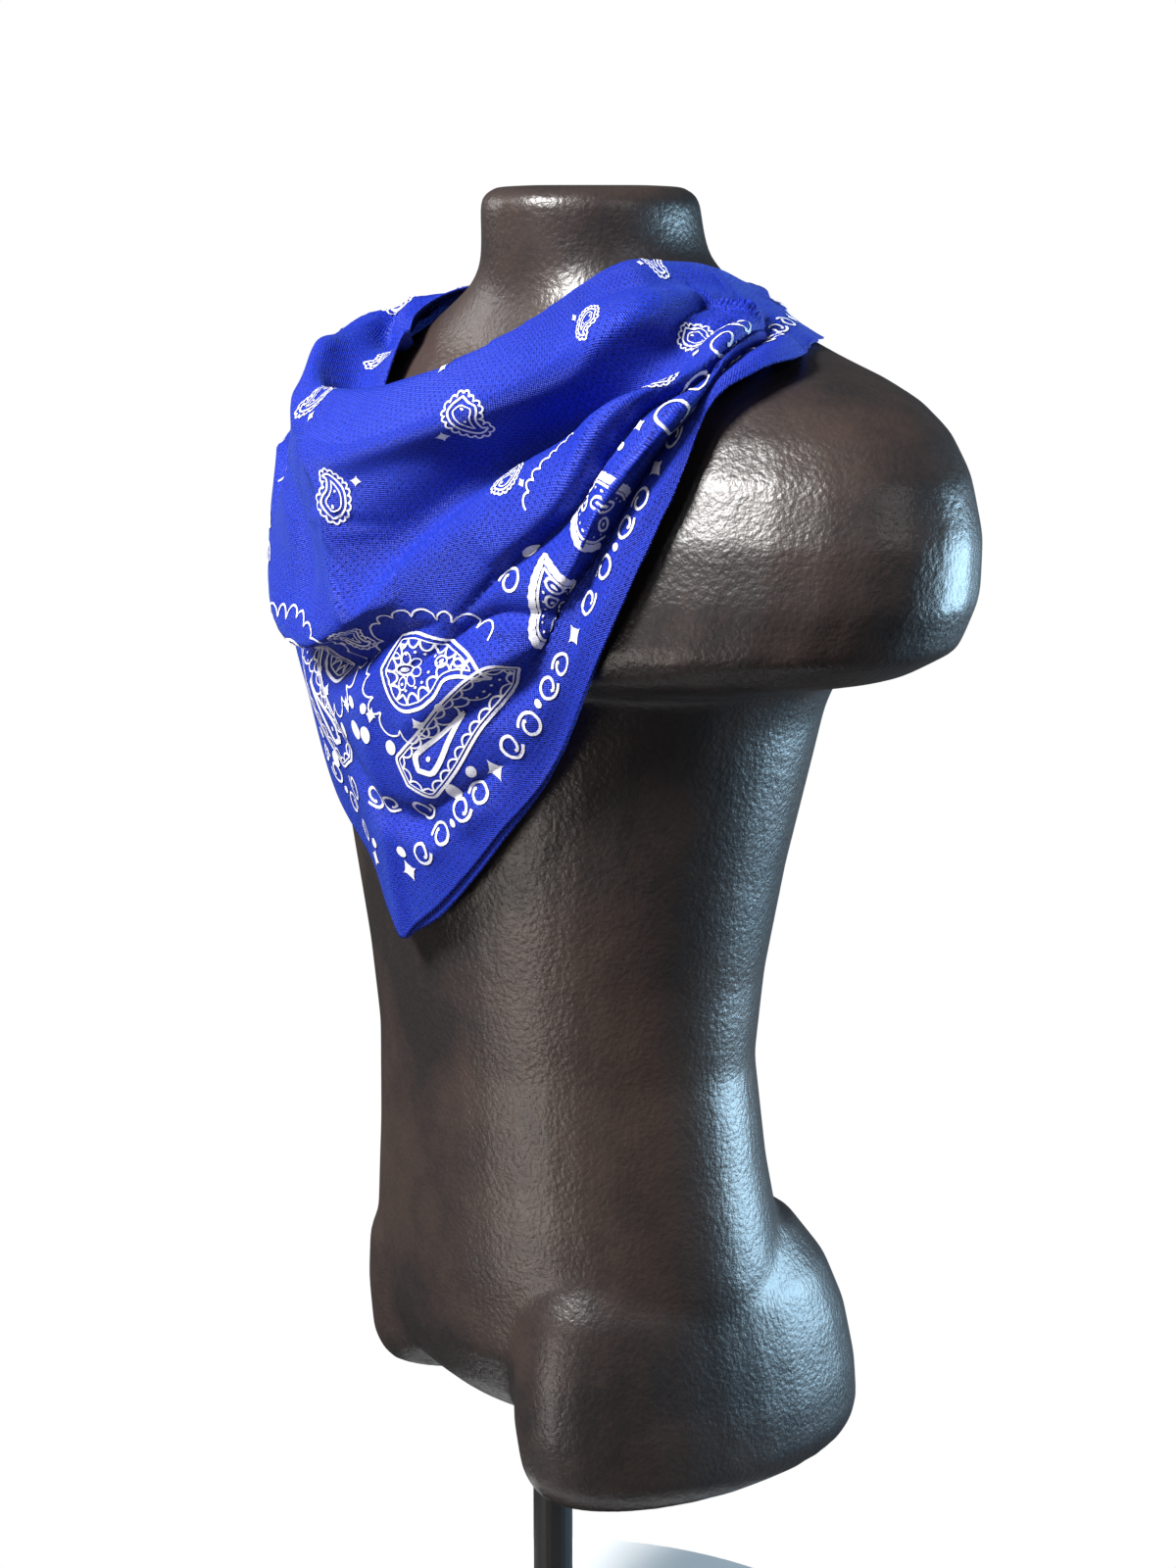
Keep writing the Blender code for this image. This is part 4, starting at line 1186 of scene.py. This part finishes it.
def hem_row():
    """The row of small motifs inside a hem, each turned a little from the one before."""
    places = []
    for repeat in range(HEM_REPEATS):
        for step, motif, turn in HEM_STEPS:
            b = HEM_START + repeat * HEM_PERIOD + step
            a = HEM_ROW + HEM_DRIFT * math.sin(b * 0.7)
            if b < HEM_END:
                uneven = math.sin(b)
                size = 1.0 + HEM_SIZE_CHANGE * uneven
                places.append(Place(motif, a, b, turn + HEM_TWIST * uneven, size))
    return places


def in_leaf_band(path):
    """Which points of a line the broad leaves may show."""
    return (path[:, 0] > LEAF_BAND[0]) & (path[:, 0] < LEAF_BAND[1])


def between_pleats(ink):
    """The runs of a line, or the whole patch, that lie between the two pleats by the hem."""
    clear = in_leaf_band(ink.path)
    if clear.all() or ink.filled:
        return [ink] if clear.all() else []
    first = int(np.argmin(clear))
    path, clear = np.roll(ink.path, -first, axis=0), np.roll(clear, -first)
    runs = np.split(path, np.flatnonzero(np.diff(clear.astype(int))) + 1)
    runs = [run for run in runs if in_leaf_band(run).all() and len(run) >= SHORTEST_RUN]
    return [ink._replace(path=run, closed=False) for run in runs]


def set_out(place, mirrored):
    """The ink of one motif on the flat cut. Mirrored ones go by the other hem."""
    shapes = []
    for ink in MOTIFS[place.motif]:
        path = ink.path * place.size @ spin(place.turn) + (place.a / 1000, place.b / 1000)
        ink = ink._replace(path=path)
        shapes += between_pleats(ink) if place.motif == "wide_leaf" else [ink]
    return [ink._replace(path=ink.path[:, ::-1]) for ink in shapes] if mirrored else shapes


layout = []
for mirrored in (False, True):
    for place in hem_row() + listed(SIDE_PLACES):
        layout += set_out(place, mirrored)
for place in listed(MIDDLE_PLACES):
    layout += set_out(place, False)
print(len(layout), "ink shapes set out")

# %% Ink on the drape
PATCH_RINGS = np.array([1, 0.7, 0.36, 0.04])[None, :, None]
STRIP_SIDES = np.array([-1, 0, 1])[None, :, None]
INK_LIFT = 0.0005
CUT_MARGIN = 0.0003


def ink_lattice(ink):
    """Rows of points across a strip, or round a patch from its edge to its middle."""
    if ink.filled:
        outline = anticlockwise(evened(ink.path, True))
        middle = outline.mean(axis=0)
        return middle + (outline - middle)[:, None] * PATCH_RINGS
    path = evened(ink.path, ink.closed)
    side = leftward(path, ink.closed) * ink.width / 2
    return path[:, None] + side[:, None] * STRIP_SIDES


def ink_mesh(shapes):
    """One thin mesh of all the ink, each point of it carried from the flat cut to the drape."""
    rows, columns = cut.shape[:2]
    index = np.arange(rows * columns).reshape(rows, columns)
    quads = grid_quads(index)
    triangles = np.concatenate([quads[:, [0, 1, 2]], quads[:, [0, 2, 3]]])
    flat_points = [Vector((a, b, 0)) for a, b in cut.reshape(-1, 2)]
    worn_points = [Vector(p) for p in drape.reshape(-1, 3)]
    worn_normals = drape_normals.reshape(-1, 3)
    net = BVHTree.FromPolygons(flat_points, triangles.tolist())
    points, places, faces = [], [], []
    for ink in shapes:
        lattice = ink_lattice(ink)
        long, wide = lattice.shape[:2]
        first = len(points)
        on_cloth = []
        for a, b in lattice.reshape(-1, 2):
            spot, _, triangle, gap = net.find_nearest(Vector((a, b, 0)))
            corners = triangles[triangle]
            flat_corners = [flat_points[k] for k in corners]
            worn_corners = [worn_points[k] for k in corners]
            worn = barycentric_transform(spot, *flat_corners, *worn_corners)
            normal = Vector(worn_normals[corners].mean(axis=0)).normalized()
            points.append(worn + normal * INK_LIFT)
            places.append((a, b))
            on_cloth.append(gap < CUT_MARGIN)
        for i in range(long if ink.closed else long - 1):
            for j in range(wide - 1):
                near, far = i * wide + j, (i + 1) % long * wide + j
                face = (near, near + 1, far + 1, far)
                if all(on_cloth[k] for k in face):
                    faces.append([first + k for k in face])
    mesh = bpy.data.meshes.new("bandana_print")
    mesh.from_pydata(points, [], faces)
    carry_cut(mesh, np.array(places))
    mesh.shade_smooth()
    return mesh


ink_piece = link("bandana_print", ink_mesh(layout))

INK_WHITE = (0.80, 0.81, 0.88, 1)
# the grey-blue of painted shade in the troughs between the stitches
INK_TROUGH_SHADE = (0.55, 0.58, 0.80, 1)
INK_GAP = (0.10, 0.14, 0.62, 1)
PINHOLE_EDGE = (0.66, 0.74)


def ink_finish():
    ink = Finish("print_ink", Specular_IOR_Level=0.2, Sheen_Weight=0.08)
    place, stitches, hole = knit_pattern(ink)
    worn = ink.noise(place, 1500.0)
    pinhole = worn.rising(*PINHOLE_EDGE)
    white = ink.mix(pinhole * 0.55 + hole * 0.35, INK_WHITE, INK_GAP)
    ink.feed(
        # painted shade on the ink in the troughs between the stitches
        Base_Color=ink.mix(0.18 - stitches * 0.18, white, INK_TROUGH_SHADE),
        Roughness=0.55 + worn * 0.15,
        Normal=ink.bump(stitches - hole, distance=0.00012, strength=0.45),
    )
    return ink


ink_piece.data.materials.append(ink_finish().material)
print("print:", len(ink_piece.data.polygons), "faces")

# %% [markdown]
# ## Cast metal and painted steel
# The form is a casting: its skin has the small hammered pits and grains of the mould. It is blackened and
# waxed, and patches of it are rubbed to a browner, glossier tone. The stand is turned steel under black
# paint.

# %% Metal
CAST_DARK = (0.0150, 0.0142, 0.0165, 1)
CAST_RUBBED = (0.086, 0.056, 0.045, 1)
RUBBED_EDGE = (0.42, 0.70)
PAINT_BLACK = (0.0045, 0.0045, 0.005, 1)
PAINT_DUSTY = (0.012, 0.012, 0.013, 1)


def cast_finish():
    cast = Finish("cast_metal", Metallic=0.0, Specular_IOR_Level=0.60)
    place = cast.node("ShaderNodeTexCoord", None, None, "Object")
    grain = cast.noise(place, 360.0)
    dents = cast.noise(place, 110.0, 1.0)
    waves = cast.noise(place, 26.0)
    rub = cast.noise(place, 6.0, 5.0, 0.62)
    rubbed = rub.rising(*RUBBED_EDGE)
    broad = cast.bump(waves, distance=0.0030, strength=0.15)
    middle = cast.bump(dents, distance=0.0014, strength=0.12, under=broad)
    cast.feed(
        Base_Color=cast.mix(rubbed * 0.7 + grain * 0.2, CAST_DARK, CAST_RUBBED),
        Roughness=0.33 - rubbed * 0.05 + grain * 0.10,
        Normal=cast.bump(grain, distance=0.0011, strength=0.42, under=middle),
    )
    return cast


def stand_finish():
    paint = Finish("stand_paint", Metallic=0.0, Specular_IOR_Level=0.45)
    place = paint.node("ShaderNodeTexCoord", None, None, "Object")
    peel = paint.noise(place, 420.0)
    dust = paint.noise(place, 24.0, 5.0, 0.6)
    paint.feed(
        Base_Color=paint.mix(dust, PAINT_BLACK, PAINT_DUSTY),
        Roughness=0.34 + dust * 0.2,
        Normal=paint.bump(peel, distance=0.0003, strength=0.3),
    )
    return paint


torso_skin.data.materials.append(cast_finish().material)
stand_paint = stand_finish()
for name in ("stand_base", "stand_post", "stand_collar"):
    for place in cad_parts[name].material_slots:
        place.material = stand_paint.material
print("metal ready")

# %% [markdown]
# ## Joining the frame
# Every new piece of the object rides on the root body and hides the solid that it stands for. The table
# beside them also names each one's finish slot.

# %% Frame calls
WEARS = {
    top_layer: ("bandana_top_layer", "bandana_knit"),
    under_layer: ("bandana_under_layer", "bandana_knit"),
    knot: ("knot", "bandana_knit"),
    tails["left"]: ("tail_left", "bandana_knit"),
    tails["right"]: ("tail_right", "bandana_knit"),
    torso_skin: ("torso_form", "form_metal"),
}
for piece, (node, slot) in WEARS.items():
    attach(piece, "root")
    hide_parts(node)
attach(ink_piece, "root")
